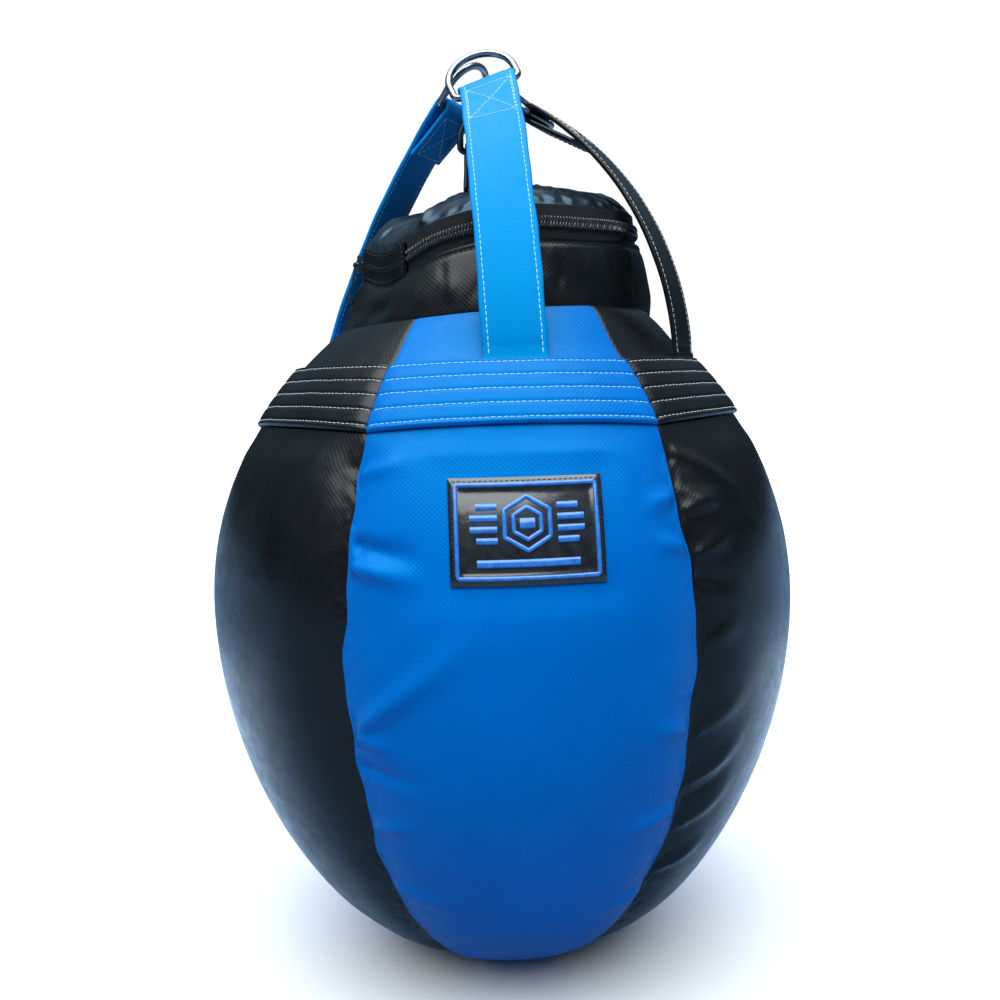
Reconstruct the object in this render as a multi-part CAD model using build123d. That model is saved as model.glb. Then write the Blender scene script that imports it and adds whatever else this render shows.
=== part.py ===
"""Heavy teardrop punching bag: six-gore vinyl shell, neck with a zipped lid, four straps with D-rings.

Units are millimetres, +Z is up, and the origin is the hang point, the underside of the
gathered D-ring arcs where a hook carries the bag.  While a piece is being shaped, heights
are measured from the equator, the level where the bag is widest, and azimuth 0 faces -Y,
growing towards +X; save() then drops each piece to its place below the hang point.
"""
from build123d import *
from math import asin, atan2, cos, degrees, radians, sin
import os

# ---- driving dimensions ----
BAG_RADIUS = 250.0          # widest radius of the shell, at the equator
BELLY_DEPTH = 322.0         # equator down to the bottom pole
POLE_ROUND = 215.0          # radius of the sphere that closes the bottom
SHOULDER_RADIUS = 291.0     # radius of the arc that forms the upper half
HANG_HEIGHT = 456.0         # equator up to the hang point
GORES = 6
GORE_SPAN = 360.0 / GORES
SEAM_GAP = 0.1              # degrees left open between neighbouring gores
POLE_RADIUS = 8.0           # the gore tips stop this far from the axis
NECK_ANGLE = 52.5           # shoulder angle at which the gores meet the neck

# layers of the wall, as offsets from the outer face of the gores
VINYL = 1.6
LAYER_GAP = 0.4
LINER = 1.0
FOAM = 18.0
LAYER_END = 0.3             # degrees by which the lining and foam stop short of the neck

# heap of filling that rises into the neck and under the lid, as (radius, height)
HEAP = ((115.0, 240.0), (102.0, 284.0), (96.0, 300.0), (74.0, 320.0), (0.0, 328.0))

# reinforcement band, straps' tails and badge on the outside of the gores
BAND_LOW_ANGLE = 31.5
BAND_HIGH_ANGLE = 43.4
BAND_THICKNESS = 4.2
SKIN_GAP = 0.3
TAIL_LOW_ANGLE = 36.0
TAIL_HIGH_ANGLE = 45.3
TAIL_THICKNESS = 2.0
TAIL_INSET = 1.0            # a tail is this much narrower than its strap, on each side
POCKET_ROOM = 0.2           # degrees between a tail's low end and the band around it
BADGE_WIDTH = 104.0
BADGE_LOW = 50.0
BADGE_HIGH = 120.0
BADGE_SHIFT = 3.5           # the badge sits this far towards +X
BADGE_THICKNESS = 2.5
BADGE_ARC = (5.0, 32.0)     # shoulder angles that enclose the badge
BADGE_FRAME_INSET = 2.0     # outer edge of the raised rim, in from the plate's edge
BADGE_FRAME_WIDTH = 6.0     # and its inner edge
BADGE_FRAME_RISE = 1.2

# neck, zipper and lid
NECK_BASE = (134.8, 231.6)
NECK_TOP = (121.4, 288.0)
CHAIN_HEIGHT = 300.0        # middle of the zipper chain
CHAIN_RADIUS = 121.4        # outer face of the coils
COIL_THICKNESS = 3.0
COIL_WIDTH = 3.8
CHAIN_SLOT = 1.2            # open slot between the two coils
TAPE_WIDTH = 12.9
TAPE_THICKNESS = 0.7
ZIP_START = -42.0           # azimuth where the chain starts, beside the hinge patch
ZIP_END = 282.0             # azimuth where it ends
UPPER_START = -33.5         # the lid's half of the chain is shorter at both ends,
UPPER_END = 273.5           # which frees it from the parked slider
LID_RIM = (117.0, 312.0)
LID_SHOULDER = (109.5, 330.0)
LID_CORNER = (100.0, 339.5)
LID_EDGE = (84.0, 343.6)
LID_TOP = 347.0
PATCH_GAP = 1.0             # degrees between the hinge patch and each end of the chain
PATCH_FLARE = 1.0           # the patch's upper edge overlaps the lid's rim by this much

# the filled neck has slumped: its rim, zipper and lid lean towards -X and sit off the bag's axis
NECK_SHIFT = 5.0
NECK_TILT = 5.0

# zip slider and its pull
SLIDER_AZIMUTH = 278.0
SLIDER_LENGTH = 14.0
SLIDER_HEIGHT = 14.0
SLIDER_FRONT = (122.0, 124.0)
SLIDER_BACK = (114.9, 116.9)
SLIDER_WEB = 0.6
BAIL_WIRE = 0.9
BAIL_OFFSET = 126.5         # radius of the bail's straight top
BAIL_LENGTH = 10.0
PULL_THICKNESS = 1.6
PULL_WIDTH = 7.0
PULL_LENGTH = 34.0
PULL_LEAN = 16.0            # the pull lies along the sloping neck
PULL_EYE = 0.98             # radius of the hole that runs on the bail, with a running fit
PULL_EYE_WALL = 1.1
PULL_EYE_WIDTH = 4.9
PULL_SLOT_WIDTH = 3.15
PULL_SLOT_LENGTH = 17.0
PULL_SLOT_DROP = 20.4       # from the eye down to the middle of the slot

# straps and rings
STRAP_WIDTH = 48.0
STRAP_THICKNESS = 4.4
STRAP_SECTIONS = 9
FOLD_LENGTH = 0.18          # part of the strap that is doubled at the top
FOLD_PRESS = 1.0            # how far the two plies sink into each other where they are sewn
CORE_WIDTH = 42.0
CORE_THICKNESS = 1.8
CORE_ROOM = 0.3
CORE_END_PLAY = 0.002       # play at each end of a twisted core, as part of the strap's length
HINGE_ANGLE = 44.8
HINGE_OFFSET = 4.9
RING_WIRE = 3.0             # wire radius
RING_HALF_WIDTH = 28.0      # centre line, from the middle to a leg
RING_CORNER = 5.0
RING_HEIGHT = 43.0          # centre line, bar to top of the arc
LOOP_ROOM = 0.8             # play between the wire and the strap's loop

STRAP_TOP_LEAN = 47.0       # lean of a strap where it meets its ring
CORE_START, CORE_END = 0.02, 0.9    # parts of the strap's length between which its core lies
# name: azimuth, bar radius, bar height, bow, ring lean, roll, foot shift, top shift
STRAPS = {
    "front": (0.0, 44.5, 426.5, 18.0, 36.0, 20.0, 4.0, -4.0),
    "right": (60.0, 46.5, 407.0, 28.0, 47.0, 0.0, 1.0, 1.0),
    "rear": (180.0, 37.5, 395.0, 36.0, 47.0, 0.0, -2.5, -2.5),
    "left": (240.0, 34.5, 424.0, 12.0, 38.0, 0.0, 0.0, 0.0),
}

os.makedirs("parts", exist_ok=True)


def save(name, shape):
    """Write one node, moved from the equator's frame to the hang point's."""
    shape = Pos(0, 0, -HANG_HEIGHT) * shape
    shape.label = name
    export_step(shape, f"parts/{name}.step")


def save_leaning(name, shape):
    """Write one node of the neck's rim, which leans and is shifted as a whole."""
    lean = Pos(NECK_SHIFT, 0, CHAIN_HEIGHT) * Rot(0, -NECK_TILT, 0) * Pos(0, 0, -CHAIN_HEIGHT)
    save(name, lean * shape)


# ---- helpers ----
def shoulder(offset, angle):
    """Point (radius, height) on the shell's upper arc, moved out by offset."""
    reach = SHOULDER_RADIUS + offset
    return (BAG_RADIUS - SHOULDER_RADIUS + reach * cos(radians(angle)), reach * sin(radians(angle)))


def belly_arcs(offset, hole=0.0):
    """Lower outline from the pole up to the equator: a sphere's arc, then a flatter side arc."""
    centre = Vector(0, POLE_ROUND - BELLY_DEPTH)
    # the side arc's radius follows from being tangent to the sphere and upright at the equator
    side = (BAG_RADIUS**2 + centre.Y**2 - POLE_ROUND**2) / (2 * (BAG_RADIUS - POLE_ROUND))
    side_centre = Vector(BAG_RADIUS - side, 0)
    meeting = degrees(atan2(-centre.Y, -side_centre.X))
    tip = degrees(asin(hole / (POLE_ROUND + offset)))
    pole = CenterArc(centre, POLE_ROUND + offset, -90 + tip, 90 - tip - meeting)
    return pole + CenterArc(side_centre, side + offset, -meeting, meeting)


def shoulder_arc(offset, low, high):
    """Upper arc between two shoulder angles."""
    return ThreePointArc(shoulder(offset, low), shoulder(offset, (low + high) / 2), shoulder(offset, high))


def upright(outline):
    """Face in the XZ plane from edges drawn as (radius, height)."""
    return Plane.XZ * make_face(outline)


def turned(face, start=0.0, span=360.0):
    """Revolve an upright face about the bag's axis, from one azimuth over a span."""
    return Rot(0, 0, start - 90) * revolve(face, Axis.Z, span)


def ring_wall(points, start=0.0, span=360.0):
    """Wall of revolution from a closed polygon of (radius, height) points."""
    return turned(upright(Polyline(*points, close=True)), start, span)


def sloping_wall(low, high, thickness, start=0.0, span=360.0):
    """Conical wall between two outer points, thickened towards the axis."""
    inner = [(radius - thickness, height) for radius, height in (high, low)]
    return ring_wall([low, high, *inner], start, span)


def shell_layer(outer, inner, top_angle=NECK_ANGLE, hole=0.0):
    """Face of one layer of the wall, from the bottom pole up to top_angle."""
    outside = belly_arcs(outer, hole) + shoulder_arc(outer, 0, top_angle)
    inside = belly_arcs(inner, hole) + shoulder_arc(inner, 0, top_angle)
    lid = Line(shoulder(outer, top_angle), shoulder(inner, top_angle))
    tip = Line(belly_arcs(outer, hole) @ 0, belly_arcs(inner, hole) @ 0)
    return upright(outside + lid + inside + tip)


def shoulder_layer(outer, inner, low, high, start=0.0, span=360.0):
    """Solid patch of a layer on the shoulder, between two shoulder angles."""
    edges = shoulder_arc(outer, low, high) + shoulder_arc(inner, low, high)
    edges += Line(shoulder(outer, low), shoulder(inner, low))
    edges += Line(shoulder(outer, high), shoulder(inner, high))
    return turned(upright(edges), start, span)


# ---- shell: gores, band, lining, foam and filling ----
def gore(index):
    """One pointed panel of the shell, centred on its azimuth."""
    start = index * GORE_SPAN - GORE_SPAN / 2 + SEAM_GAP / 2
    return turned(shell_layer(0, -VINYL, hole=POLE_RADIUS), start, GORE_SPAN - SEAM_GAP)


def strap_slab(outer, inner, half_width, low, shift=0.0):
    """Curved slab that follows the front of the shoulder, as wide as a strap's tail."""
    patch = shoulder_layer(outer, inner, low, TAIL_HIGH_ANGLE, -GORE_SPAN / 2, GORE_SPAN)
    return patch & Pos(shift, -BAG_RADIUS / 2, BAG_RADIUS / 2) * Box(2 * half_width, BAG_RADIUS, BAG_RADIUS)


def tail(name):
    """End of a strap, sewn down between its gore and the band."""
    azimuth, shift = STRAPS[name][0], STRAPS[name][6]
    half_width = STRAP_WIDTH / 2 - TAIL_INSET
    slab = strap_slab(SKIN_GAP + TAIL_THICKNESS, SKIN_GAP, half_width, TAIL_LOW_ANGLE, shift)
    return Rot(0, 0, azimuth) * slab


def tail_pocket(name):
    """Room that the band leaves for a strap's tail."""
    azimuth, shift = STRAPS[name][0], STRAPS[name][6]
    depth = 2 * SKIN_GAP + TAIL_THICKNESS
    half_width = STRAP_WIDTH / 2 - TAIL_INSET + SKIN_GAP
    slab = strap_slab(depth, -SKIN_GAP, half_width, TAIL_LOW_ANGLE - POCKET_ROOM, shift)
    return Rot(0, 0, azimuth) * slab


def band(index):
    """One piece of the reinforcement band round the shoulder, over its gore."""
    start = index * GORE_SPAN - GORE_SPAN / 2 + SEAM_GAP
    outer = SKIN_GAP + BAND_THICKNESS
    piece = shoulder_layer(outer, SKIN_GAP, BAND_LOW_ANGLE, BAND_HIGH_ANGLE, start, GORE_SPAN - 2 * SEAM_GAP)
    for name, spec in STRAPS.items():
        if spec[0] == index * GORE_SPAN:
            piece -= tail_pocket(name)
    return piece


def filling():
    """Packed textile scrap: fills the shell and the neck, and heaps up under the lid."""
    offset = -(LAYER_GAP + VINYL + LAYER_GAP + LINER + LAYER_GAP + FOAM)
    top = shoulder(offset, NECK_ANGLE)
    heap = [top, *HEAP]
    pole = belly_arcs(offset) @ 0
    outline = belly_arcs(offset) + shoulder_arc(offset, 0, NECK_ANGLE)
    outline += Polyline(*heap) + Line(heap[-1], pole)
    return turned(upright(outline))


def badge_patch(outer, inner, margin):
    """Part of a shoulder layer inside the badge's outline, less a margin."""
    patch = shoulder_layer(outer, inner, *BADGE_ARC, -GORE_SPAN / 2, GORE_SPAN)
    height = BADGE_HIGH - BADGE_LOW - 2 * margin
    block = Box(BADGE_WIDTH - 2 * margin, BAG_RADIUS, height)
    return patch & Pos(BADGE_SHIFT, -BAG_RADIUS, (BADGE_LOW + BADGE_HIGH) / 2) * block


def badge_plate():
    """Flexible moulded plate sewn to the front gore."""
    return badge_patch(SKIN_GAP + BADGE_THICKNESS, SKIN_GAP, 0)


def badge_frame():
    """Raised rim on the badge plate."""
    low = 2 * SKIN_GAP + BADGE_THICKNESS
    rim = badge_patch(low + BADGE_FRAME_RISE, low, BADGE_FRAME_INSET)
    return rim - badge_patch(low + 2 * BADGE_FRAME_RISE, low - BADGE_FRAME_RISE, BADGE_FRAME_WIDTH)


# ---- neck, zipper and lid ----
def neck_cone(inset):
    """Solid between the gores' opening and the leaning rim, its radii less an inset."""
    base = Pos(0, 0, NECK_BASE[1]) * Circle(NECK_BASE[0] - inset)
    rise = NECK_TOP[1] - CHAIN_HEIGHT
    leaning = Pos(NECK_SHIFT, 0, CHAIN_HEIGHT) * Rot(0, -NECK_TILT, 0)
    rim = leaning * Pos(0, 0, rise) * Circle(NECK_TOP[0] - inset)
    return loft([base, rim])


def neck_wall():
    """Sleeve of vinyl that carries the zipper above the gores."""
    return neck_cone(0) - neck_cone(VINYL)


def coil(low, start, end):
    """One half of the zipper chain."""
    inner = CHAIN_RADIUS - COIL_THICKNESS
    corners = [(CHAIN_RADIUS, low), (CHAIN_RADIUS, low + COIL_WIDTH), (inner, low + COIL_WIDTH), (inner, low)]
    return ring_wall(corners, start, end - start)


def tape(low, start, end):
    """Woven tape behind one half of the chain."""
    outer = CHAIN_RADIUS - COIL_THICKNESS - SKIN_GAP
    return sloping_wall((outer, low), (outer, low + TAPE_WIDTH), TAPE_THICKNESS, start, end - start)


def arc_block(radii, height, length, azimuth):
    """Curved block centred on the chain, length measured along it."""
    half = degrees(length / CHAIN_RADIUS) / 2
    low, high = CHAIN_HEIGHT - height / 2, CHAIN_HEIGHT + height / 2
    inner, outer = radii
    corners = [(outer, low), (outer, high), (inner, high), (inner, low)]
    return ring_wall(corners, azimuth - half, 2 * half)


def zip_slider():
    """Two plates joined through the chain's slot, with a bail for the pull."""
    body = arc_block(SLIDER_FRONT, SLIDER_HEIGHT, SLIDER_LENGTH, SLIDER_AZIMUTH)
    body += arc_block(SLIDER_BACK, SLIDER_HEIGHT, SLIDER_LENGTH, SLIDER_AZIMUTH)
    body += arc_block((SLIDER_BACK[0], SLIDER_FRONT[1]), SLIDER_WEB, SLIDER_LENGTH / 2, SLIDER_AZIMUTH)
    top = Rot(0, 90, 0) * Cylinder(BAIL_WIRE, BAIL_LENGTH)
    foot = Rot(90, 0, 0) * Cylinder(BAIL_WIRE, BAIL_OFFSET - SLIDER_FRONT[0])
    bail = Pos(0, -BAIL_OFFSET, CHAIN_HEIGHT) * top
    for side in (-1, 1):
        middle = (BAIL_OFFSET + SLIDER_FRONT[0]) / 2
        bail += Pos(side * BAIL_LENGTH / 2, -middle, CHAIN_HEIGHT) * foot
    return body + Rot(0, 0, SLIDER_AZIMUTH) * bail


def zip_pull():
    """Tab with an eye that hangs on the bail."""
    eye = Rot(0, 90, 0) * Cylinder(PULL_EYE + PULL_EYE_WALL, PULL_EYE_WIDTH)
    arm = Pos(0, 0, -PULL_LENGTH / 2) * Box(PULL_WIDTH, PULL_THICKNESS, PULL_LENGTH)
    slot = Pos(0, 0, -PULL_SLOT_DROP) * Box(PULL_SLOT_WIDTH, 2 * PULL_THICKNESS, PULL_SLOT_LENGTH)
    tab = eye + arm - slot - Rot(0, 90, 0) * Cylinder(PULL_EYE, 2 * PULL_WIDTH)
    hung = Pos(0, -BAIL_OFFSET, CHAIN_HEIGHT) * Rot(-PULL_LEAN, 0, 0) * tab
    return Rot(0, 0, SLIDER_AZIMUTH) * hung


def lid_top():
    """Domed cover of the neck, with a rounded edge."""
    outer = ThreePointArc(LID_SHOULDER, LID_CORNER, LID_EDGE)
    crown = Line(LID_EDGE, (0, LID_TOP))
    thin = VINYL
    inner = Polyline(
        (0, LID_TOP - thin),
        (LID_EDGE[0], LID_EDGE[1] - thin),
        (LID_CORNER[0] - thin, LID_CORNER[1] - thin),
        (LID_SHOULDER[0] - thin, LID_SHOULDER[1]),
    )
    closing = Line((0, LID_TOP), (0, LID_TOP - thin)) + Line(inner @ 1, LID_SHOULDER)
    return turned(upright(outer + crown + inner + closing))


# ---- straps and rings, each built at the front and then turned to its azimuth ----
class Route:
    """Centre line of one strap, from its fold line on the shoulder up to its ring."""

    def __init__(self, spec):
        (self.azimuth, self.bar_radius, self.bar_height, self.bow,
         self.ring_lean, self.roll, self.foot_shift, self.top_shift) = spec
        self.loop = RING_WIRE + LOOP_ROOM + STRAP_THICKNESS / 2
        radius, height = shoulder(HINGE_OFFSET, HINGE_ANGLE)
        foot = Vector(self.foot_shift, -radius, height)
        self.bar = Vector(self.top_shift, -self.bar_radius, self.bar_height)
        self.outward = Vector(0, -cos(radians(STRAP_TOP_LEAN)), sin(radians(STRAP_TOP_LEAN)))
        top = self.bar + self.outward * self.loop
        chord = top - foot
        bulge = Vector(0, -chord.Z, chord.Y).normalized() * self.bow
        self.line = ThreePointArc(foot, (foot + top) * 0.5 + bulge, top)

    def section(self, share, width, thickness, drop=0.0):
        """Rectangle across the strap; drop moves it towards the bag's axis."""
        twist = self.roll * max(0.0, 2 * share - 1)
        across = Vector(1, 0, 0).rotate(Axis.Y, -twist)
        along = self.line % share
        plane = Plane(origin=self.line @ share, x_dir=across, z_dir=along)
        return plane * Pos(0, drop, 0) * Rectangle(width, thickness)

    def run(self, width, thickness, start=0.0, end=1.0):
        """Flat strip along the centre line, twisted as it nears the ring."""
        shares = [start + (end - start) * i / (STRAP_SECTIONS - 1) for i in range(STRAP_SECTIONS)]
        return loft([self.section(share, width, thickness) for share in shares])

    def at_ring(self, shape):
        """Place a shape drawn round the bar's middle, rolled like the ring."""
        return Pos(self.bar) * Rot(0, -self.roll, 0) * shape

    def placed(self, shape):
        return Rot(0, 0, self.azimuth) * shape


def twisted_cover(route):
    """Cover of a strap that turns towards its ring, lofted along its centre line."""
    cover = route.run(STRAP_WIDTH, STRAP_THICKNESS)
    rolled_end = Rot(0, 90, 0) * Cylinder(STRAP_THICKNESS / 2, STRAP_WIDTH)
    cover += Pos(route.line @ 0) * rolled_end
    fold = STRAP_THICKNESS - FOLD_PRESS
    folded = [
        route.section(1 - FOLD_LENGTH, STRAP_WIDTH, STRAP_THICKNESS, fold),
        route.section(1, STRAP_WIDTH, STRAP_THICKNESS, 2 * route.loop),
    ]
    cover += loft(folded, ruled=True)
    outer = route.loop + STRAP_THICKNESS / 2
    cover += route.at_ring(Rot(0, 90, 0) * Cylinder(outer, STRAP_WIDTH))
    cover -= route.at_ring(Rot(0, 90, 0) * Cylinder(RING_WIRE + LOOP_ROOM, 2 * STRAP_WIDTH))
    room = 2 * CORE_ROOM
    return cover - route.run(CORE_WIDTH + room, CORE_THICKNESS + room, CORE_START, CORE_END)


def side_slot(route, start, end, thickness):
    """Side view of a strip along part of the centre line, drawn as (y, z)."""
    points = [route.line @ share for share in (start, (start + end) / 2, end)]
    return SlotArc(ThreePointArc(*[(point.Y, point.Z) for point in points]), thickness)


def flat_strip(route, outline, width):
    """Solid as wide as the strap from its side view."""
    return Pos(route.foot_shift, 0, 0) * extrude(Plane.YZ * outline, width / 2, both=True)


def flat_cover(route):
    """Cover of a strap that lies in one upright plane, extruded from its side view."""
    bar = Pos(route.bar.Y, route.bar.Z)
    inward = -route.outward
    low, top = route.line @ (1 - FOLD_LENGTH), route.line @ 1
    low_inner = low + inward * (STRAP_THICKNESS - FOLD_PRESS)
    top_inner = top + inward * (2 * route.loop)
    half = inward * (STRAP_THICKNESS / 2)
    corners = [low_inner - half, low_inner + half, top_inner + half, top_inner - half]
    outline = side_slot(route, 0, 1, STRAP_THICKNESS)
    outline += make_face(Polyline(*[(corner.Y, corner.Z) for corner in corners], close=True))
    outline += bar * Circle(route.loop + STRAP_THICKNESS / 2)
    outline -= bar * Circle(RING_WIRE + LOOP_ROOM)
    room = side_slot(route, CORE_START, CORE_END, CORE_THICKNESS + 2 * CORE_ROOM)
    return flat_strip(route, outline, STRAP_WIDTH) - flat_strip(route, room, CORE_WIDTH + 2 * CORE_ROOM)


def strap_cover(route):
    """Vinyl sleeve of a strap, folded over the ring's bar and sewn back on itself."""
    return route.placed(twisted_cover(route) if route.roll else flat_cover(route))


def strap_core(route):
    """Webbing that carries the load inside the sleeve."""
    if route.roll:
        start, end = CORE_START + CORE_END_PLAY, CORE_END - CORE_END_PLAY
        return route.placed(route.run(CORE_WIDTH, CORE_THICKNESS, start, end))
    return route.placed(flat_strip(route, side_slot(route, CORE_START, CORE_END, CORE_THICKNESS), CORE_WIDTH))


def bend(centre, radius, start):
    """Quarter turn of ring wire in the XZ plane, from a start angle."""
    disc = Pos(centre[0] + radius, 0, centre[1]) * Circle(RING_WIRE)
    quarter = revolve(disc, Axis((centre[0], 0, centre[1]), (0, -1, 0)), 90)
    turn = Pos(centre[0], 0, centre[1]) * Rot(0, -start, 0) * Pos(-centre[0], 0, -centre[1])
    return turn * quarter


def d_ring(route):
    """Welded steel D-ring: straight bar, two tight corners, short legs and a half-round arc."""
    arc_centre = RING_HEIGHT - RING_HALF_WIDTH
    flat = RING_HALF_WIDTH - RING_CORNER
    ring = Rot(0, 90, 0) * Cylinder(RING_WIRE, 2 * flat)
    leg_length = arc_centre - RING_CORNER
    for side, corner_start, arc_start in ((1, 270, 0), (-1, 180, 90)):
        ring += bend((side * flat, RING_CORNER), RING_CORNER, corner_start)
        ring += Pos(side * RING_HALF_WIDTH, 0, RING_CORNER + leg_length / 2) * Cylinder(RING_WIRE, leg_length)
        ring += bend((0, arc_centre), RING_HALF_WIDTH, arc_start)
    return route.placed(route.at_ring(Rot(-route.ring_lean, 0, 0) * ring))


# ---- write the nodes ----
COLOURS = ["blue", "black"] * (GORES // 2)

for index, colour in enumerate(COLOURS):
    save(f"gore_{index + 1}_{colour}", gore(index))
    save(f"band_{index + 1}_{colour}", band(index))

depth = VINYL + LAYER_GAP
layer_top = NECK_ANGLE - LAYER_END
save("liner", turned(shell_layer(-depth, -depth - LINER, layer_top)))
depth += LINER + LAYER_GAP
save("foam_layer", turned(shell_layer(-depth, -depth - FOAM, layer_top)))
save("filling", filling())
save("badge_plate", badge_plate())
save("badge_frame", badge_frame())

save("neck_wall", neck_wall())
slot = CHAIN_SLOT / 2
save_leaning("zip_coil_lower", coil(CHAIN_HEIGHT - slot - COIL_WIDTH, ZIP_START, ZIP_END))
save_leaning("zip_coil_upper", coil(CHAIN_HEIGHT + slot, UPPER_START, UPPER_END))
save_leaning("zip_tape_lower", tape(CHAIN_HEIGHT - slot - TAPE_WIDTH, ZIP_START, ZIP_END))
save_leaning("zip_tape_upper", tape(CHAIN_HEIGHT + slot, UPPER_START, UPPER_END))
save_leaning("zip_slider", zip_slider())
save_leaning("zip_pull", zip_pull())
save_leaning("lid_skirt", sloping_wall(LID_RIM, LID_SHOULDER, VINYL))
save_leaning("lid_top", Pos(0, 0, SKIN_GAP) * lid_top())
patch_low = (NECK_TOP[0], NECK_TOP[1] + SKIN_GAP)
patch_high = (LID_RIM[0] + PATCH_FLARE, LID_RIM[1] - SKIN_GAP)
patch_start, patch_end = ZIP_END - 360 + PATCH_GAP, ZIP_START - PATCH_GAP
save_leaning("hinge_patch", sloping_wall(patch_low, patch_high, VINYL, patch_start, patch_end - patch_start))

for name, spec in STRAPS.items():
    route = Route(spec)
    save(f"strap_{name}_cover", strap_cover(route))
    save(f"strap_{name}_core", strap_core(route))
    save(f"strap_{name}_tail", tail(name))
    save(f"ring_{name}", d_ring(route))
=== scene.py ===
"""Looks of a heavy punching bag: vinyl gores, band, gathered lid, coil zipper, straps and D-rings.

Lengths are metres in the row frame, whose origin is the hang point.  Heights called level are
measured from the equator, the widest level of the shell.  Azimuth 0 faces -Y, towards +X.
"""
import bpy
import numpy as np
from math import atan2, cos, pi, radians, sin, tan
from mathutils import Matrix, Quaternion, Vector


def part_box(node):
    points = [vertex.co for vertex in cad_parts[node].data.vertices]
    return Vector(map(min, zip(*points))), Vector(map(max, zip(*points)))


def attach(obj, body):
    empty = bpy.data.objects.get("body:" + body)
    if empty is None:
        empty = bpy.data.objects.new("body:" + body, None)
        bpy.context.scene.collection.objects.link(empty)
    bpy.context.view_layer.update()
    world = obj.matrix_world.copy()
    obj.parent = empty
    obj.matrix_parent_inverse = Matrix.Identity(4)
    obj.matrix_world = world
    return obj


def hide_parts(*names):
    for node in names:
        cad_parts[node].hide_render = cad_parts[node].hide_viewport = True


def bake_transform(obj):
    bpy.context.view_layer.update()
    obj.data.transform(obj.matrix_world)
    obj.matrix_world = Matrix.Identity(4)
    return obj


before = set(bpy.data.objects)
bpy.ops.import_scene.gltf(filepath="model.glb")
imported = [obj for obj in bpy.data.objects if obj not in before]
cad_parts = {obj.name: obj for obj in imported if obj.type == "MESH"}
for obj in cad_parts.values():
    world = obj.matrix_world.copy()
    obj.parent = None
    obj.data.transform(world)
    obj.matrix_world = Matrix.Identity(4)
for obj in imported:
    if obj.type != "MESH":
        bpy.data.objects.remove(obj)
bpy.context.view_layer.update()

MM = 0.001
TAU = 2 * pi

# ---- driving sizes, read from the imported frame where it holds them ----
BAG_RADIUS = -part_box("gore_1_blue")[0][1]
POLE_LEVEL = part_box("gore_1_blue")[0][2]
BELLY_DEPTH = 0.322
EQUATOR = POLE_LEVEL + BELLY_DEPTH      # height of the widest level in the row frame
POLE_ROUND = 0.215
SHOULDER_RADIUS = 0.291
NECK_ANGLE = radians(52.5)
GORES = 6
SPAN = TAU / GORES
VINYL = 1.6 * MM
BAND_LOW = radians(31.5)
BAND_HIGH = radians(43.4)
BAND_THICKNESS = 4.2 * MM
NECK_BASE = (0.1348, 0.2316)            # radius and level of the neck's seam
NECK_TOP = (0.1214, 0.2880)
NECK_TUCK = 3.5 * MM                    # the sleeve reaches this far down inside the gores' top edge
CHAIN_LEVEL = 0.300
CHAIN_RADIUS = 0.1214
LID_RIM = (0.1170, 0.3120)
ZIP_START, ZIP_END = radians(-42), radians(282)
UPPER_END = radians(273.5)
NECK_SHIFT = 5 * MM                     # the slumped neck's rim sits off the axis
NECK_TILT = radians(5)                  # and leans towards -X
CHAIN_DIP = (13 * MM, radians(-53), radians(17))    # the chain dips where it ends, beside the hinge patch,
CHAIN_HUMP = (6 * MM, radians(-2), radians(26))     # and rides up over the heap at the front
CROWN_RISE = (11 * MM, radians(32), radians(62))    # the gores' tops ride up at the front right

STRAP_WIDTH = 0.048
STRAP_THICKNESS = 4.0 * MM
LOOP_RADIUS = 6.0 * MM                  # centre line of the strap round its ring's bar
STRAP_LEAN = radians(47)
TAIL_OUT = 1.2 * MM                     # centre line of the thin sewn-down end, above the vinyl
HINGE_OUT = 4.5 * MM                    # and of the strap where it turns up at the band
TAIL_SHARE = 0.35                       # thickness of the sewn-down end, as a share of the strap's
STRAP_FOOT = (-0.1690, 0.2085)          # depth and level at which a strap leaves the band
# name: azimuth, bar radius, bar level, bow, roll, foot shift, top shift, colour
STRAPS = {
    "front": (0, 0.0445, 0.4265, 0.018, 20, 0.0040, -0.0040, "blue"),
    "right": (60, 0.0465, 0.4070, 0.028, 0, 0.0010, 0.0010, "black"),
    "rear": (180, 0.0375, 0.3950, 0.036, 0, -0.0025, -0.0025, "black"),
    "left": (240, 0.0345, 0.4240, 0.012, 0, 0.0, 0.0, "blue"),
}


# ---- camera, light and floor ----
CAMERA_DISTANCE = 0.885
CAMERA_LEVEL = 0.177
CAMERA_AZIMUTH = radians(-3.44)
CAMERA_PITCH = radians(-6.2)
CAMERA_ROLL = radians(-1.5)
FOCAL_SHARE = 0.985                     # focal length as a share of the picture's width
SENSOR = 36.0
SKY_LIGHT = (0.05, 0.60)                # light of the surroundings at the horizon and overhead
SKY_TINT = (0.45, 0.72, 1.0)
FLOOR_DROP = 4 * MM


def camera():
    data = bpy.data.cameras.new("camera")
    data.sensor_width = SENSOR
    data.lens = FOCAL_SHARE * SENSOR
    data.clip_start = 0.01
    made = bpy.data.objects.new("camera", data)
    bpy.context.collection.objects.link(made)
    side, away = sin(CAMERA_AZIMUTH), -cos(CAMERA_AZIMUTH)
    place = Vector((CAMERA_DISTANCE * side, CAMERA_DISTANCE * away, EQUATOR + CAMERA_LEVEL))
    target = Vector((0, 0, place.z + CAMERA_DISTANCE * tan(CAMERA_PITCH)))
    turn = (target - place).to_track_quat("-Z", "Y")
    made.location = place
    made.rotation_mode = "QUATERNION"
    made.rotation_quaternion = turn @ Quaternion((0, 0, 1), CAMERA_ROLL)
    bpy.context.scene.camera = made


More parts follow.
